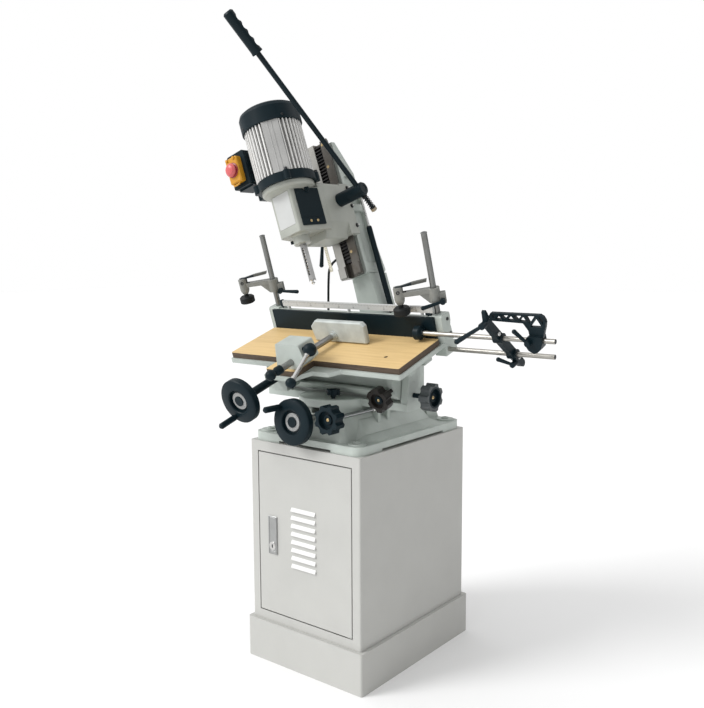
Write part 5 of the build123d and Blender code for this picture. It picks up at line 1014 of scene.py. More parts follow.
@dataclass
class Lead:
    """Mains lead: leaves the column, hangs beside the stand and ends in a put-away coil with its plug."""

    diameter: float = 7.0
    sides: int = 14
    coil_radius: float = 45.0
    coil_x: float = -120.0
    coil_y: float = 360.0
    coil_step: float = 4.2
    half_turns: int = 3
    half_turn_steps: int = 6
    layer_rise: float = 8.0
    tail: float = 44.0
    corner: float = 1.035
    tie_angle: float = 150.0
    tie_half_width: float = 22.0
    tie_half_length: float = 4.5
    tie_top: float = 17.5
    tie_wall: float = 1.2
    tie_lift: float = 0.3
    route: tuple[Point, ...] = (
        (-141.7, 104, 1081.9), (-192.8, 104, 1064.3), (-199, 105, 1000), (-201, 107, 900), (-205, 109, 790),
        (-212, 111, 670), (-212, 110, 550), (-211, 108, 430), (-212, 107, 310), (-214, 110, 200),
        (-216, 114, 110), (-216, 122, 46), (-215, 152, 3.6), (-213, 202, 3.6), (-210, 252, 3.6),
        (-188, 292, 3.6), (-165, 326, 3.6), (-165, 360, 3.6),
    )

    def coil(self) -> list[Point]:
        """Turns of the coil, two layers, as more points of the lead's line.

        Returns:
            The points, in millimetres.
        """
        points: list[Point] = []
        steps = self.half_turn_steps
        x, z, sign, span = self.coil_x - self.coil_radius, self.route[-1][2], 1, 2 * self.coil_radius
        for half in range(2 * self.half_turns):
            climb = self.layer_rise if half == self.half_turns else 0.0
            middle, reach = x + sign * span / 2, span / 2
            for step in range(1, steps + 1):
                angle = pi * step / steps
                far = reach * (self.corner if step < steps else 1.0)
                away = sign * far
                height = z + climb * step / steps
                points.append((middle - away * cos(angle), self.coil_y + away * sin(angle), height))
            x, z, sign = x + sign * span, z + climb, -sign
            span += self.coil_step * 2 * (-1 if half < self.half_turns else 1)
        points.append((x, self.coil_y + self.tail * 0.5, z))
        points.append((x, self.coil_y + self.tail, z))
        return points

    def line(self) -> list[Vector]:
        """Middle line of the lead, read from its spline.

        Returns:
            Points along the line, in metres.
        """
        points = [*self.route, *self.coil()]
        data = bpy.data.curves.new("lead_line", "CURVE")
        data.dimensions = "3D"
        data.resolution_u = 6
        spline = data.splines.new("NURBS")
        spline.points.add(len(points) - 1)
        for target, point in zip(spline.points, points):
            target.co = (*(Vector(point) * MM), 1.0)
        spline.order_u = 3
        spline.use_endpoint_u = True
        mesh = read_curve(data)
        found = [vertex.co.copy() for vertex in mesh.vertices]
        bpy.data.meshes.remove(mesh)
        return found

    def tie(self) -> Object:
        """Builds the strap round the coil.

        Returns:
            The strap.
        """
        away = radians(self.tie_angle)
        base = placed(
            (self.coil_x + self.coil_radius * cos(away), self.coil_y + self.coil_radius * sin(away), 0),
            (cos(away), sin(away), 0),
            (-sin(away), cos(away), 0),
        )
        half, top, wall, lift = self.tie_half_width, self.tie_top, self.tie_wall, self.tie_lift
        outer = rect(-half, half, -top, -lift, corner=3.0)
        inner = rect(-half + wall, half - wall, -top + wall, -lift - wall * 0.2, corner=2.0)
        strap = Shape("coil_tie").band(base, outer, inner, -self.tie_half_length, self.tie_half_length)
        return strap.ride("stand", MOULDING, "lead_rubber")

    def build(self) -> None:
        """Builds the lead, its tie, and dresses plug and strain relief."""
        rubber = RUBBER.material()
        points = self.line()
        lead = Shape("mains_lead").pipe(points, self.diameter / 2, self.sides).object(rubber)
        tie = self.tie()
        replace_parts(lead, "cord", "cord_coil")
        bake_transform(lead)
        dress(rubber, "strain_relief", "plug")


@dataclass
class Stand:
    """Sheet-metal cabinet on its plinth, with the hinged door and its lock plate."""

    louvre_rise: float = 5.0
    plate: Bounds = (-122.7, -92.2, 299.0, 403.0)
    plate_thickness: float = 3.2
    rib_width: float = 2.6
    rib_rise: float = 0.9
    rib_inset: float = 1.2
    bar_near: float = 4.0
    bar_far: float = 9.0
    lock_x: float = -107.5
    lock_z: float = 322.0
    keyhole_shade: Bounds = (-2.1, 2.1, -4.8, 4.8)

    def build(self) -> None:
        """Dresses the sheet metal, with a painted highlight on the louvres, and builds the lock plate and a
        keyhole of painted shade.
        """
        dress(CABINET, "plinth", "cabinet")
        louvre_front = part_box("door")[0].y / MM
        door_front = louvre_front + self.louvre_rise
        # Painted highlight on the louvres, which stand proud of the door's face.
        louvre_highlights = Zone(LOUVRE_HIGHLIGHT, WORLD, y=(louvre_front - 1.0, door_front - 0.6))
        dress(Zoned("door_paint_and_louvre_highlight", CABINET, (louvre_highlights,)), "door")
        dress(CHROME, "lock_barrel")
        left, right, bottom, top = self.plate
        base = Facing.FRONT.of(WORLD, 0, door_front, 0)
        thick, rib_top = self.plate_thickness, self.plate_thickness + self.rib_rise
        plate = Shape("lock_plate").slab(base, rect(*self.plate, corner=2.0), -0.4, thick, ease=0.9)
        for start in (left + self.rib_inset, right - self.rib_inset - self.rib_width):
            outline = rect(start, start + self.rib_width, bottom + 2, top - 2, corner=1.0)
            plate.slab(base, outline, thick, rib_top, ease=0.3)
        for low, high in (
            (top - self.bar_far, top - self.bar_near),
            (bottom + self.bar_near, bottom + self.bar_far),
        ):
            plate.slab(base, rect(left + 5, right - 5, low, high, corner=1.0), thick, rib_top, ease=0.3)
        plate.ride("door", PLATE_METAL, "chrome")
        face = Facing.FRONT.of(WORLD, self.lock_x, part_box("lock_barrel")[0].y / MM, self.lock_z)
        # A dark slab of painted shade stands for the keyhole's opening in the lock barrel's face.
        keyhole_shade = Shape("keyhole_shade").slab(face, rect(*self.keyhole_shade, corner=0.8), -0.4, 0.12)
        keyhole_shade.ride("lock", INK_AND_SHADE, "chrome")


@dataclass
class Base:
    """Base casting bolted on the cabinet, and the saddle that slides on it."""

    casting: Material
    bolt_x: float = 147.0
    bolt_y: float = 199.0
    boss_top: float = 627.0
    bolt_size: Flat = (10.0, 4.0)

    def build(self) -> None:
        """Dresses the castings and builds the foot bolts."""
        dress(self.casting, "base", "saddle")
        bolts = Shape("foot_bolts")
        for x in (-self.bolt_x, self.bolt_x):
            for y in (-self.bolt_y, self.bolt_y):
                Head.SOCKET.add(bolts, shifted(WORLD, x, y, self.boss_top), *self.bolt_size)
        bolts.ride("stand", self.casting, "casting_paint")


@dataclass
class Handwheel:
    """Handwheel with a flat face, a light dial ring and its graduations."""

    node: str
    body: str
    base: Matrix
    dial_inside: float = 13.5
    dial_outside: float = 23.0
    dial_top: float = 12.0
    dial_height: float = 3.2
    shaft_radius: float = 8.6
    shaft: Flat = (-400.0, -9.0)
    face: Profile = (
        (30.5, 8.8), (46.0, 8.8), (51.0, 17.6), (55.4, 17.6), (56.2, 18.0),
        (55.4, 18.5), (32.5, 18.5), (30.5, 16.5), (30.5, 8.8),
    )
    marks: int = 40
    mark_half_width: float = 0.22
    mark_outside: float = 22.4
    long_mark: float = 15.0
    short_mark: float = 18.5

    def build(self) -> None:
        """Dresses the wheel and builds its face and the dial's marks."""
        ring = Zone(
            LIGHT_PLATE,
            self.base,
            radius=(self.dial_inside, self.dial_outside + 0.2),
            z=(self.dial_top - self.dial_height, self.dial_top + 0.5),
        )
        shaft = Zone(STEEL, self.base, radius=(-1.0, self.shaft_radius), z=self.shaft)
        dress(Zoned(self.node + "_finish", MOULDING, (ring, shaft)), self.node)
        face = Shape(self.body + "_face").turn(self.base, self.face, 72)
        face.ride(self.body, MOULDING, "black_plastic")
        dial = Shape(self.body + "_dial_marks")
        half = self.mark_half_width
        for mark in range(self.marks):
            spoke = turned(self.base, "Z", 360.0 * mark / self.marks)
            start = self.short_mark if mark % 5 else self.long_mark
            outline = rect(start, self.mark_outside, -half, half)
            dial.slab(spoke, outline, self.dial_top - 0.1, self.dial_top + 0.06)
        dial.ride(self.body, INK_AND_SHADE, "black_plastic")


@dataclass
class Locks:
    """Lobed knobs that lock saddle, tilt, table and column, with the hubs and studs in their faces."""

    rim_highlight: Flat = (26.5, 46.5)
    rod_radius: float = 6.0
    rod_end: float = -600.0
    ferrule: Profile = (
        (5.8, -165.4), (9.0, -165.4), (9.0, -155.5), (7.5, -154.0), (5.8, -154.0), (5.8, -165.4),
    )
    hub: Profile = ((0, 0), (1, 0), (0.9, 4.5), (0.62, 5.5), (0.5, 3.5), (0, 3.5))
    stud_share: float = 0.34
    stud_low: float = 3.4
    stud_height: float = 2.4
    column_knob: Matrix = field(default_factory=lambda: Facing.FRONT.of(WORLD, 105, -240, 689))
    tilt_knob: Matrix = field(default_factory=lambda: Facing.RIGHT.of(WORLD, 272, -83, 739))
    table_knob: Matrix = field(default_factory=lambda: Facing.FRONT.of(CRADLE, 205, -98, -12))

    def build(self) -> None:
        """Dresses the knobs and builds the rod's ferrule and the knobs' hubs and studs."""
        dress(MOULDING, "saddle_lock_knob")
        # Painted highlight over the tilt knob's outer part.
        rim_highlight = Zone(RIM_HIGHLIGHT, self.tilt_knob, radius=self.rim_highlight)
        dress(Zoned("tilt_knob_finish", MOULDING, (rim_highlight,)), "tilt_lock_knob")
        dress(KNOB_BROWN, "table_lock_knob")
        around = (-1.0, self.rod_radius + 0.4)
        rod = Zone(LOCK_STEEL, self.column_knob, radius=around, z=(self.rod_end, -0.5))
        dress(Zoned("column_lock_finish", MOULDING, (rod,)), "column_lock")
        ferrule = Shape("column_lock_ferrule").turn(self.column_knob, self.ferrule)
        ferrule.ride("column_lock", CHROME, "chrome")
        black, brass = MOULDING.material(), BRASS.material()
        hollows = (
            ("column_lock", self.column_knob, 18.0, 13.0),
            ("tilt_lock", self.tilt_knob, 15.6, 12.5),
            ("table_lock", self.table_knob, 14.4, 11.0),
        )
        for body, base, depth, radius in hollows:
            floor = shifted(base, 0, 0, depth - 0.2)
            rings = [(share * radius, height) for share, height in self.hub]
            Shape(body + "_hub").turn(floor, rings, 28).ride(body, black, "black_plastic")
            top = shifted(floor, 0, 0, self.stud_low)
            stud = Head.CROSS.add(Shape(body + "_stud"), top, radius * self.stud_share, self.stud_height)
            stud.ride(body, brass, "steel")


@dataclass
class Table:
    """Cradle with its apron, table casting and board."""

    casting: Material
    board_edge: Flat = (-30.0, -0.9)
    board_screw: Point = (204.0, 56.0, -3.0)
    board_screw_size: Flat = (4.6, 2.0)
    apron_radius: float = 60.0
    apron_wall: float = 7.0
    apron_half_length: float = 198.0
    apron_from: int = 200
    apron_to: int = 340
    apron_step: int = 5
    apron_screw: Point = (-16.0, -47.6, -36.5)
    apron_screw_size: Flat = (3.6, 1.2)

    def apron(self) -> None:
        """Builds the cradle's round apron between its end plates, and the screw in it."""
        outside, half = self.apron_radius, self.apron_half_length
        inside = outside - self.apron_wall
        angles = [radians(angle) for angle in range(self.apron_from, self.apron_to + 1, self.apron_step)]
        outline = [(outside * cos(angle), outside * sin(angle)) for angle in angles]
        outline += [(inside * cos(angle), inside * sin(angle)) for angle in reversed(angles)]
        wall = Shape("cradle_apron").slab(Facing.RIGHT.of(CRADLE, -half, 0, 0), outline, 0.0, 2 * half)
        wall.ride("cradle", self.casting, "casting_paint")
        x, y, z = self.apron_screw
        seat = shifted(aimed(CRADLE, (x, 0, 0), (x, y, z)), 0, 0, outside - 0.6)
        screw = Head.SOCKET.add(Shape("apron_screw"), seat, *self.apron_screw_size)
        screw.ride("cradle", DARK_STEEL, "steel")

    def build(self) -> None:
        """Dresses cradle, casting and board, and builds the apron and the board's screw."""
        dress(self.casting, "cradle", "table_casting")
        edge = Zone(BOARD_EDGE, TABLE, z=self.board_edge)
        dress(Zoned("table_board", BOARD_TOP, (edge,)), "table_top")
        self.apron()
        seat = shifted(TABLE, *self.board_screw)
        screw = Head.CROSS.add(Shape("board_screw"), seat, *self.board_screw_size)
        screw.ride("table", DARK_STEEL, "steel")


@dataclass
class Fence:
    """Fence with its brackets, the posts on them and the scale bar."""

    casting: Material
    bar_left: float = -235.0
    bar_right: float = 270.0
    bar_front: float = 189.0
    bar_bottom: float = 64.0
    bar_height: float = 16.0
    mark_step: float = 5.0
    mark_margin: float = 5.0
    mark_half_width: float = 0.35
    mark_gap: float = 0.6
    long_mark: float = 6.2
    middle_mark: float = 4.8
    short_mark: float = 3.2
    figure_level: float = 5.2
    figure_size: float = 6.0
    cap: Bounds = (-243.0, -234.0, -1.0, 17.0)
    cap_foot: Bounds = (-241.0, -237.0, -7.0, 0.0)
    clip: Bounds = (246.0, 262.0, -6.5, 0.4)
    clip_foot: Bounds = (250.0, 258.0, -10.5, -6.0)
    bracket_x: float = 292.0
    screw_places: tuple[Flat, ...] = ((212.0, 42.0), (216.0, 2.0))
    screw_size: Flat = (4.4, 2.4)
    post_x: float = 270.0
    post_y: float = 208.0
    post_top: float = 266.0
    post_hole_shade: Profile = ((0, -0.5), (4.4, -0.5), (4.2, 0.15), (0, 0.12))

    def scale(self) -> None:
        """Builds the scale bar's marks and figures, its end cap and its clip."""
        face = Facing.FRONT.of(TABLE, 0, self.bar_front, self.bar_bottom)
        marks = Shape("scale_marks")
        count = int((self.bar_right - self.bar_left - 2 * self.mark_margin) / self.mark_step)
        half, top = self.mark_half_width, self.bar_height - self.mark_gap
        for mark in range(count + 1):
            x = self.bar_left + self.mark_margin + mark * self.mark_step
            length = self.short_mark if mark % 2 else self.middle_mark if mark % 10 else self.long_mark
            marks.slab(face, rect(x - half, x + half, top - length, top), -0.1, 0.08)
            if mark % 10 == 0 and mark:
                place = shifted(face, x, self.figure_level, -0.05)
                marks.figures(place, str(mark // 2), self.figure_size, 0.12)
        marks.ride("table", INK_AND_SHADE, "scale_white")
        black = MOULDING.material()
        for name, slabs in (
            ("scale_end_cap", ((self.cap, 1.5, -8.6, 0.6), (self.cap_foot, 1.0, -6.0, -2.0))),
            ("scale_clip", ((self.clip, 1.5, -8.2, 0.6), (self.clip_foot, 1.0, -6.0, -1.5))),
        ):
            piece = Shape(name)
            for bounds, corner, low, high in slabs:
                piece.slab(face, rect(*bounds, corner), low, high, ease=0.5)
            piece.ride("table", black, "black_plastic")

    def build(self) -> None:
        """Dresses fence and posts and builds screws, dark discs of painted shade for the holes in the posts'
        tops, and the scale.
        """
        dress(self.casting, "fence_casting")
        dress(BLACK_PAINT, "fence_face")
        dress(SCALE_WHITE, "scale_bar")
        dress(POST_STEEL, "posts")
        screws = Shape("bracket_screws")
        for y, z in self.screw_places:
            Head.SOCKET.add(screws, Facing.RIGHT.of(TABLE, self.bracket_x, y, z), *self.screw_size)
            Head.SOCKET.add(screws, Facing.LEFT.of(TABLE, -self.bracket_x, y, z), *self.screw_size)
        screws.ride("table", DARK_STEEL, "steel")
        # Dark discs of painted shade on the posts' tops stand for the holes in them.
        hole_shades = Shape("post_hole_shades")
        for x in (-self.post_x, self.post_x):
            hole_shades.turn(shifted(TABLE, x, self.post_y, self.post_top), self.post_hole_shade, 24)
        hole_shades.ride("table", INK_AND_SHADE, "steel")
        self.scale()


@dataclass
class Vise:
    """Front vise: block, jaw on its round rod, and the ball lever."""

    casting: Material
    jaw_front: float = 112.0
    rod_radius: float = 8.5
    rod_z: float = 20.0
    rod_front: float = -102.0
    rod_start: float = 12.0
    grip_length: float = 60.0
    lever_hub: Point = (58.0, -46.0, 52.0)
    lever_end: Point = (58.0, -135.0, 4.0)
    hub_ball: Flat = (-30.0, 15.5)
    end_ball: Flat = (-11.5, 20.0)
    hub_ferrule: Flat = (14.5, 20.0)
    end_ferrule: Flat = (-17.0, -11.0)
    ferrule_inside: float = 5.3
    ferrule_edge: float = 6.6
    ferrule_crown: float = 6.9

    def build(self) -> None:
        """Dresses the vise and builds the ferrules of its lever."""
        dress(self.casting, "vise_block")
        rod = Facing.FRONT.of(TABLE, 0, self.jaw_front, self.rod_z)
        grip_start = self.jaw_front - self.rod_front
        around = (-1.0, self.rod_radius + 0.3)
        steel = Zone(ROD_STEEL, rod, radius=around, z=(self.rod_start, grip_start))
        grip = Zone(MOULDING, rod, z=(grip_start, grip_start + self.grip_length))
        dress(Zoned("vise_jaw_finish", JAW_PAINT, (steel, grip)), "vise_jaw")
        lever = aimed(TABLE, self.lever_hub, self.lever_end)
        reach = (Vector(self.lever_end) - Vector(self.lever_hub)).length
        end_low, end_high = self.end_ball
        balls = (
            Zone(MOULDING, lever, z=self.hub_ball),
            Zone(MOULDING, lever, z=(reach + end_low, reach + end_high)),
        )
        dress(Zoned("vise_lever_finish", CHROME, balls), "vise_lever")
        ferrules = Shape("vise_lever_ferrules")
        inside, edge, crown = self.ferrule_inside, self.ferrule_edge, self.ferrule_crown
        for start, end in (self.hub_ferrule, tuple(reach + place for place in self.end_ferrule)):
            middle = (start + end) / 2
            ring = [(inside, start), (edge, start), (crown, middle), (edge, end), (inside, end)]
            ferrules.turn(lever, [*ring, ring[0]], 24)
        ferrules.ride("vise_lever", CHROME, "chrome")


@dataclass
class HoldDowns:
    """The two hold-downs on the posts: arm, cam lever, pad and lock lever."""

    arm_turn: float = 209.0
    places: tuple[tuple[str, float, float], ...] = (("left", -270.0, 120.0), ("right", 270.0, 107.0))
    post_y: float = 208.0
    reach: float = 87.0
    cam_z: float = 21.0
    cam_shift: float = 5.5
    fork_half_width: float = 11.6
    screw_size: Flat = (4.6, 3.0)
    paddle: Flat = (-80.0, -36.0)

    def build(self) -> None:
        """Dresses both hold-downs and builds the screws of their cam pins."""
        dress(ARM_PAINT, "left_hold_down_arm", "right_hold_down_arm")
        dress(RUBBER, "left_pad", "right_pad")
        dress(MOULDING, "left_lock_lever", "right_lock_lever")
        dark = DARK_STEEL.material()
        half = self.fork_half_width
        for hand, x, z in self.places:
            arm = turned(shifted(TABLE, x, self.post_y, z), "Z", self.arm_turn)
            cam = Facing.FRONT.of(arm, self.reach, self.cam_shift, self.cam_z)
            # Painted reflection on the paddle end of the cam lever.
            paddle = Zone(PADDLE_SHEEN, cam, x=self.paddle)
            dress(Zoned(hand + "_cam_finish", BLACK_PAINT, (paddle,)), hand + "_cam_lever")
            screws = Shape(hand + "_cam_screws")
            for facing, y in ((Facing.FRONT, -half), (Facing.BACK, half)):
                Head.SOCKET.add(screws, facing.of(arm, self.reach, y, self.cam_z), *self.screw_size)
            screws.ride(hand + "_arm", dark, "steel")


@dataclass
class LengthStop:
    """Length stop on its two rods: link, flip stop and their clamp levers."""

    rod_end: Point = (603.0, 160.0, 22.5)
    guide_end: Point = (570.4, 212.0, -40.3)
    end_ring: Profile = ((0, -0.3), (5.4, -0.3), (5.4, 0.25), (4.0, 0.35), (3.7, 0.1), (0, 0.1))
    pad: Flat = (200.0, 252.2)
    link_face: float = 468.8
    link_screws: tuple[Flat, ...] = ((147.7, 38.3), (221.8, -52.9))
    screw_size: Flat = (4.6, 4.0)

    def build(self) -> None:
        """Dresses the stop and builds the link's screws and the rods' end rings."""
        dress(MOULDING, "stop_link", "flip_stop", "upper_link_lever", "lower_link_lever", "flip_lever")
        dress(GUIDE_STEEL, "stop_guide_rod")
        pad = Zone(MOULDING, TABLE, x=self.pad)
        dress(Zoned("stop_rod_finish", GUIDE_STEEL, (pad,)), "stop_rod")
        screws = Shape("link_screws")
        for y, z in self.link_screws:
            Head.SOCKET.add(screws, Facing.RIGHT.of(TABLE, self.link_face, y, z), *self.screw_size)
        screws.ride("stop_link", BRIGHT_STEEL, "steel")
        dark = DARK_STEEL.material()
        for name, body, place in (
            ("stop_rod_end", "stop_rod", self.rod_end),
            ("guide_rod_end", "table", self.guide_end),
        ):
            end = Facing.RIGHT.of(TABLE, *place)
            Shape(name).turn(end, self.end_ring, 24).ride(body, dark, "steel")


@dataclass
class ColumnUnit:
    """Tilting column with its dovetail way, rack and gas strut."""

    way_front: float = 70.0
    way_back: float = 93.8
    way_reach: float = 12.0
    way: Flat = (249.0, 649.0)
    bright: Flat = (-40.5, -13.0)
    ring_places: tuple[Flat, ...] = ((20.0, 570.0), (20.0, 318.0), (20.0, 636.0))
    ring_size: Flat = (4.2, 0.26)
    tube_end: Point = (50.0, 142.0, 381.0)
    gland: Profile = ((4.2, -1.0), (7.4, -1.0), (7.4, 1.0), (6.4, 2.2), (4.2, 2.2), (4.2, -1.0))

    def build(self) -> None:
        """Dresses the column and builds the way's ring screws and the strut's gland."""
        front = self.way_front - self.way_reach
        steel = Zone(WAY_STEEL, COLUMN, y=(front, self.way_back), z=self.way)
        bright = Zone(WAY_BRIGHT, COLUMN, x=self.bright, y=(front, self.way_front + 0.5))
        dress(Zoned("column_finish", CASTING, (steel, bright)), "column")
        dress(RACK_STEEL, "feed_rack")
        dress(BLACK_PAINT, "strut_tube")
        dress(BRIGHT_STEEL, "strut_rod")
        rings = Shape("way_ring_screws")
        for u, w in self.ring_places:
            Head.RING.add(rings, Facing.FRONT.of(COLUMN, u, self.way_front, w), *self.ring_size)
        rings.ride("column", BRASS, "steel")
        gland = Shape("strut_gland").turn(shifted(COLUMN, *self.tube_end), self.gland, 28)
        gland.ride("column", DARK_STEEL, "black_paint")


@dataclass
class HeadUnit:
    """Sliding head: gear box with cover, bare front plate, gib screws, nose and depth strip."""

    box_front: float = -140.0
    plate: Bounds = (-29.0, 29.0, 393.0, 484.0)
    cover_slant: float = 12.47
    cover_corner: float = 37.0
    cover_top: float = 3.0
    cover_screws: tuple[float, ...] = (42.0, 64.0)
    cover_screw_w: float = 395.0
    cover_screw_size: Flat = (3.6, 2.0)
    ridge: Bounds = (20.0, 84.0, 405.0, 406.6)
    lug: Bounds = (46.0, 60.0, 474.0, 489.0)
    lug_button: Profile = ((0, 0), (4.2, 0), (4.2, 2), (3.2, 3), (0, 3))
    gib_levels: tuple[float, ...] = (494.0, 441.0, 384.0)
    gib_v: float = 84.0
    gib_nut_size: Flat = (4.6, 4.0)
    stud: Profile = ((0, 3.0), (2.3, 3.0), (2.3, 8.0), (1.7, 8.8), (1.0, 8.8), (0.9, 7.8), (0, 7.8))
    carriage_side: float = 54.0
    strip: Bounds = (-5.0, 5.0, 284.0, 400.0)
    strip_place: Flat = (-57.0, 60.0)
    strip_front: float = 2.2
    strip_marks: int = 22
    strip_step: float = 5.0
    strip_screw_size: Flat = (2.8, 2.2)
    mark_half_width: float = 0.35
    long_mark: float = 6.5
    short_mark: float = 4.0
    nose_screw_w: float = 358.0
    nose_radius: float = 23.0
    nose_screw_turn: float = 212.0
    nose_screw_size: Flat = (4.6, 8.5)

    def cover(self) -> None:
        """Builds the front plate, the cover's screws, ridge and lug."""
        face = Facing.FRONT.of(COLUMN, 0, self.box_front, 0)
        plate = Shape("front_plate").slab(face, rect(*self.plate, corner=3.0), -0.3, 0.9, ease=0.3)
        plate.ride("head", SCALE_WHITE, "scale_white")
        corner = shifted(COLUMN, self.cover_corner, self.box_front, 0)
        side = Facing.RIGHT.of(turned(corner, "Z", -self.cover_slant))
        top = self.cover_top
        screws = Shape("cover_screws")
        for along in self.cover_screws:
            seat = shifted(side, along, self.cover_screw_w, top - 0.1)
            Head.CROSS.add(screws, seat, *self.cover_screw_size)
        screws.ride("head", BRASS, "steel")
        trim = Shape("cover_trim")
        trim.slab(side, rect(*self.ridge, corner=0.6), top - 0.2, top + 0.7, ease=0.2)
        trim.slab(side, rect(*self.lug, corner=3.0), top - 0.2, top + 4.0, ease=1.2)
        left, right, low, high = self.lug
        button = shifted(side, (left + right) / 2, (low + high) / 2, top + 3.8)
        trim.turn(button, self.lug_button, 20).ride("head", MOULDING, "black_paint")

    def strip_scale(self) -> None:
        """Builds the depth strip that hangs from the carriage, and its marks."""
        face = Facing.FRONT.of(COLUMN, *self.strip_place, 0)
        left, _, low, high = self.strip
        front, half = self.strip_front, self.mark_half_width
        strip = Shape("depth_strip").slab(face, rect(*self.strip, corner=1.0), 0.2, front, ease=0.3)
        strip.ride("head", SCALE_CREAM, "scale_white")
        marks = Shape("depth_marks")
        for mark in range(self.strip_marks):
            level = low + 4 + mark * self.strip_step
            length = self.short_mark if mark % 2 else self.long_mark
            outline = rect(left + 1, left + 1 + length, level - half, level + half)
            marks.slab(face, outline, front - 0.1, front + 0.08)
        Head.SOCKET.add(marks, shifted(face, -1.5, high - 6, front - 0.1), *self.strip_screw_size)
        marks.ride("head", INK_AND_SHADE, "scale_white")

    def build(self) -> None:
        """Dresses the head and builds its small pieces."""
        # The head's warmer paint, darkened as painted shade.
        dress(HEAD_PAINT_AND_SHADE, "head_casting")
        dress(BLACK_PAINT, "cover_plate")
        dress(MOULDING, "head_lock_lever")
        self.cover()
        self.strip_scale()
        nuts, studs = Shape("gib_nuts"), Shape("gib_studs")
        for level in self.gib_levels:
            spot = Facing.RIGHT.of(COLUMN, self.carriage_side - 0.4, self.gib_v, level)
            Head.HEX.add(nuts, spot, *self.gib_nut_size)
            studs.turn(spot, self.stud, 16)
        nuts.ride("head", DARK_STEEL, "steel")
        studs.ride("head", BRIGHT_STEEL, "steel")
        around = turned(shifted(SPINDLE, 0, 0, self.nose_screw_w), "Z", self.nose_screw_turn)
        seat = turned(shifted(around, self.nose_radius - 0.6, 0, 0), "Y", 90)
        screw = Head.SOCKET.add(Shape("nose_screw"), seat, *self.nose_screw_size)
        screw.ride("head", BLACK_PAINT, "steel")


@dataclass
class Tooling:
    """Hollow chisel and the auger that turns in it."""

    tip: float = 231.5
    flute_start: float = 236.0
    flute_end: float = 344.0
    pitch: float = 17.0
    levels: int = 116
    section: tuple[Flat, ...] = (
        (4.9, -1.0), (4.9, 1.0), (2.4, 1.9), (0, 2.2), (-2.4, 1.9),
        (-4.9, 1.0), (-4.9, -1.0), (-2.4, -1.9), (0, -2.2), (2.4, -1.9),
    )
    point: Profile = ((0, 0), (1.2, 2.5), (2.1, 6), (0, 6.5))
    shank: Profile = (
        (0, 342), (4.9, 342), (4.9, 385), (10, 386), (17, 396), (17, 474), (14, 478), (0, 478),
    )

    def build(self) -> None:
        """Dresses the chisel and builds the twisted auger in place of its plain bar."""
        dress(STEEL, "chisel")
        auger = Shape("auger_bit")
        auger.twist(SPINDLE, self.section, self.flute_start, self.flute_end, self.pitch, self.levels)
        auger.turn(SPINDLE, [(radius, self.tip + height) for radius, height in self.point], 16)
        auger.turn(SPINDLE, self.shank, 28)
        made = auger.ride("spindle", BRIGHT_STEEL, "steel")
        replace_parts(made, "auger")


@dataclass
class Motor:
    """Motor on its flange, with finned housing and fan cover."""

    core_radius: float = 71.0
    groove_depth: float = 2.2
    panel_turn: float = -52.0
    panel_half_width: float = 23.0
    flange_top: float = 530.0
    bolt_orbit: float = 84.0
    bolt_turns: tuple[int, ...] = (45, 135, 225, 315)
    bolt_size: Flat = (4.6, 6.0)
    cover_radius: float = 83.0
    cover_screw_w: float = 679.0
    cover_screw_turn: float = 20.0
    cover_screw_size: Flat = (3.6, 2.2)
    lid_radius: float = 71.0
    lid_low: float = 724.0
    lid_slope: float = 8.13
    vents: int = 24
    vent: Bounds = (-25.0, -2.0, -2.2, 2.2)

    def build(self) -> None:
        """Dresses the motor, with painted shade in its fin grooves, and builds its bolts, cover screws and
        dark slabs of painted shade for the vents.
        """
        dress(BLACK_PAINT, "motor_flange")
        face, half, core = turned(SPINDLE, "Z", self.panel_turn), self.panel_half_width, self.core_radius
        panel = Zone(PANEL_GREY, face, x=(core - 10.0, core + 20.0), y=(-half, half))
        # Painted shade in the fin grooves, from the core to a little above the fins' roots.
        groove_shade = Zone(GROOVE_SHADE, SPINDLE, radius=(0.0, core + self.groove_depth))
        dress(Zoned("motor_finish", ALUMINIUM, (groove_shade, panel)), "motor_housing")
        dress(MOULDING, "fan_cover")
        bolts, screws, vents = Shape("flange_bolts"), Shape("fan_cover_screws"), Shape("fan_vent_shades")
        for angle in self.bolt_turns:
            ear = turned(shifted(SPINDLE, 0, 0, self.flange_top - 0.2), "Z", angle)
            Head.SOCKET.add(bolts, shifted(ear, self.bolt_orbit, 0, 0), *self.bolt_size)
            wall = turned(shifted(SPINDLE, 0, 0, self.cover_screw_w), "Z", angle + self.cover_screw_turn)
            seat = turned(shifted(wall, self.cover_radius - 0.3, 0, 0), "Y", 90)
            Head.CROSS.add(screws, seat, *self.cover_screw_size)
        # Dark slabs of painted shade stand for the open vent slots in the fan cover's top.
        for vent in range(self.vents):
            spoke = turned(shifted(SPINDLE, 0, 0, self.lid_low), "Z", 360.0 * vent / self.vents)
            lid = turned(shifted(spoke, self.lid_radius, 0, 0), "Y", self.lid_slope)
            vents.slab(lid, rect(*self.vent, corner=2.0), -0.4, 0.3)
        bolts.ride("head", DARK_STEEL, "steel")
        screws.ride("head", DARK_STEEL, "steel")
        vents.ride("head", INK_AND_SHADE, "black_plastic")


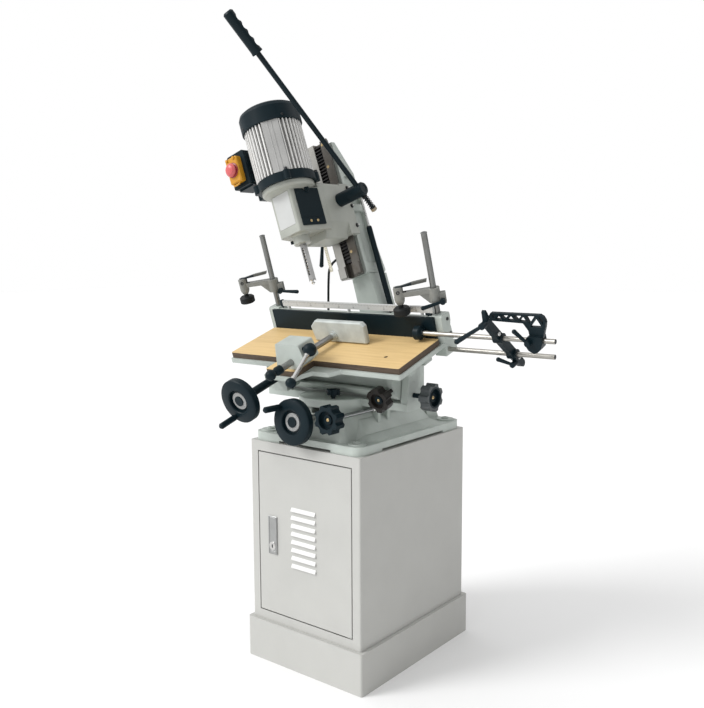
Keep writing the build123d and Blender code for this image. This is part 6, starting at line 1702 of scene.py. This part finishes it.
@dataclass
class Switch:
    """Switch box with the yellow housing and its red button."""

    face: Matrix = field(default_factory=lambda: Facing.FRONT.of(COLUMN, -116, -150, 598))
    housing_depth: float = 18.0
    loop: tuple[Point, ...] = (
        (-12, -31, 9), (-12.5, -38, 14), (-10, -42, 17), (0, -43, 18),
        (10, -42, 17), (12.5, -38, 14), (12, -31, 9),
    )
    loop_radius: float = 2.4
    catch_near: float = 9.0
    catch_far: float = 17.0
    catch_levels: Flat = (27.0, 35.0)
    seat: Profile = ((6.6, 0), (20.5, 0), (20.5, 1.6), (19.0, 2.6), (6.6, 2.6), (6.6, 0))

    def build(self) -> None:
        """Dresses the switch and builds the loop and catches of its flap and the button's seat."""
        dress(MOULDING, "switch_box")
        yellow = YELLOW.material()
        dress(yellow, "switch_housing")
        dress(RED, "stop_button")
        points = [self.face @ (Vector(point) * MM) for point in self.loop]
        flap = Shape("switch_flap").pipe(points, self.loop_radius, 10)
        for side in (-1, 1):
            left, right = sorted((side * self.catch_near, side * self.catch_far))
            outline = rect(left, right, *self.catch_levels, corner=2.0)
            flap.slab(self.face, outline, self.housing_depth - 0.4, self.housing_depth + 4.0, ease=1.2)
        flap.ride("head", yellow, "switch_yellow")
        seat = Shape("button_seat").turn(shifted(self.face, 0, 0, self.housing_depth - 0.1), self.seat, 40)
        seat.ride("head", DARK_RED, "button_red")


@dataclass
class FeedLever:
    """Feed lever through its hub, with the grip, the tail spring and its nut."""

    nut: Flat = (-120.0, -61.4)
    hub_end: Point = (143.0, 36.0, 455.0)
    end_ring: Profile = (
        (9.0, -0.4), (16.5, -0.4), (16.5, 0.9), (15.5, 1.6), (10.0, 1.6), (9.0, 0.9), (9.0, -0.4),
    )
    spring_radius: float = 7.6
    wire_radius: float = 1.1
    spring_low: float = -60.2
    spring_high: float = -20.2
    spring_sharp: float = 60.0
    closed_rise: float = 2.4
    active_turns: int = 5
    steps: int = 26

    def spring(self) -> None:
        """Builds the coil spring, closed at both ends, in place of its plain helix."""
        turns = self.active_turns + 2
        active = (self.spring_high - self.spring_low - 2 * self.closed_rise) / self.active_turns
        points = []
        for step in range(turns * self.steps + 1):
            turn = step / self.steps
            height = self.closed_rise * min(turn, 1.0)
            height += active * min(max(turn - 1.0, 0.0), self.active_turns)
            height += self.closed_rise * max(turn - 1.0 - self.active_turns, 0.0)
            x, y = self.spring_radius * cos(tau * turn), self.spring_radius * sin(tau * turn)
            points.append(LEVER @ (Vector((x, y, self.spring_low + height)) * MM))
        spring = Shape("feed_spring").pipe(points, self.wire_radius, 10)
        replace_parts(spring.ride("feed", DARK_STEEL, "steel", self.spring_sharp), "tail_spring")

    def build(self) -> None:
        """Dresses hub, lever and grip and builds the spring and the hub's end ring."""
        dress(BLACK_PAINT, "feed_hub")
        dress(MOULDING, "feed_grip")
        nut = Zone(ZINC, LEVER, z=self.nut)
        dress(Zoned("feed_lever_finish", BLACK_PAINT, (nut,)), "feed_lever")
        self.spring()
        ring = Shape("hub_end_ring").turn(Facing.RIGHT.of(COLUMN, *self.hub_end), self.end_ring, 36)
        ring.ride("feed", BLACK_PAINT, "black_paint")


def main() -> None:
    """Builds the studio, the lead and every sub-assembly."""
    logging.basicConfig(level=logging.INFO, format="%(name)s: %(message)s")
    casting = CASTING.material()
    units = (
        Studio(),
        Lead(),
        Stand(),
        Base(casting),
        Handwheel("front_handwheel", "front_wheel", Facing.FRONT.of(WORLD, 0, -262, 673)),
        Handwheel("side_handwheel", "side_wheel", Facing.FRONT.of(CRADLE, -131, -241, 14)),
        Locks(),
        Table(casting),
        Fence(casting),
        Vise(casting),
        HoldDowns(),
        LengthStop(),
        ColumnUnit(),
        HeadUnit(),
        Tooling(),
        Motor(),
        Switch(),
        FeedLever(),
    )
    for unit in units:
        unit.build()


if __name__ == "__main__":
    main()
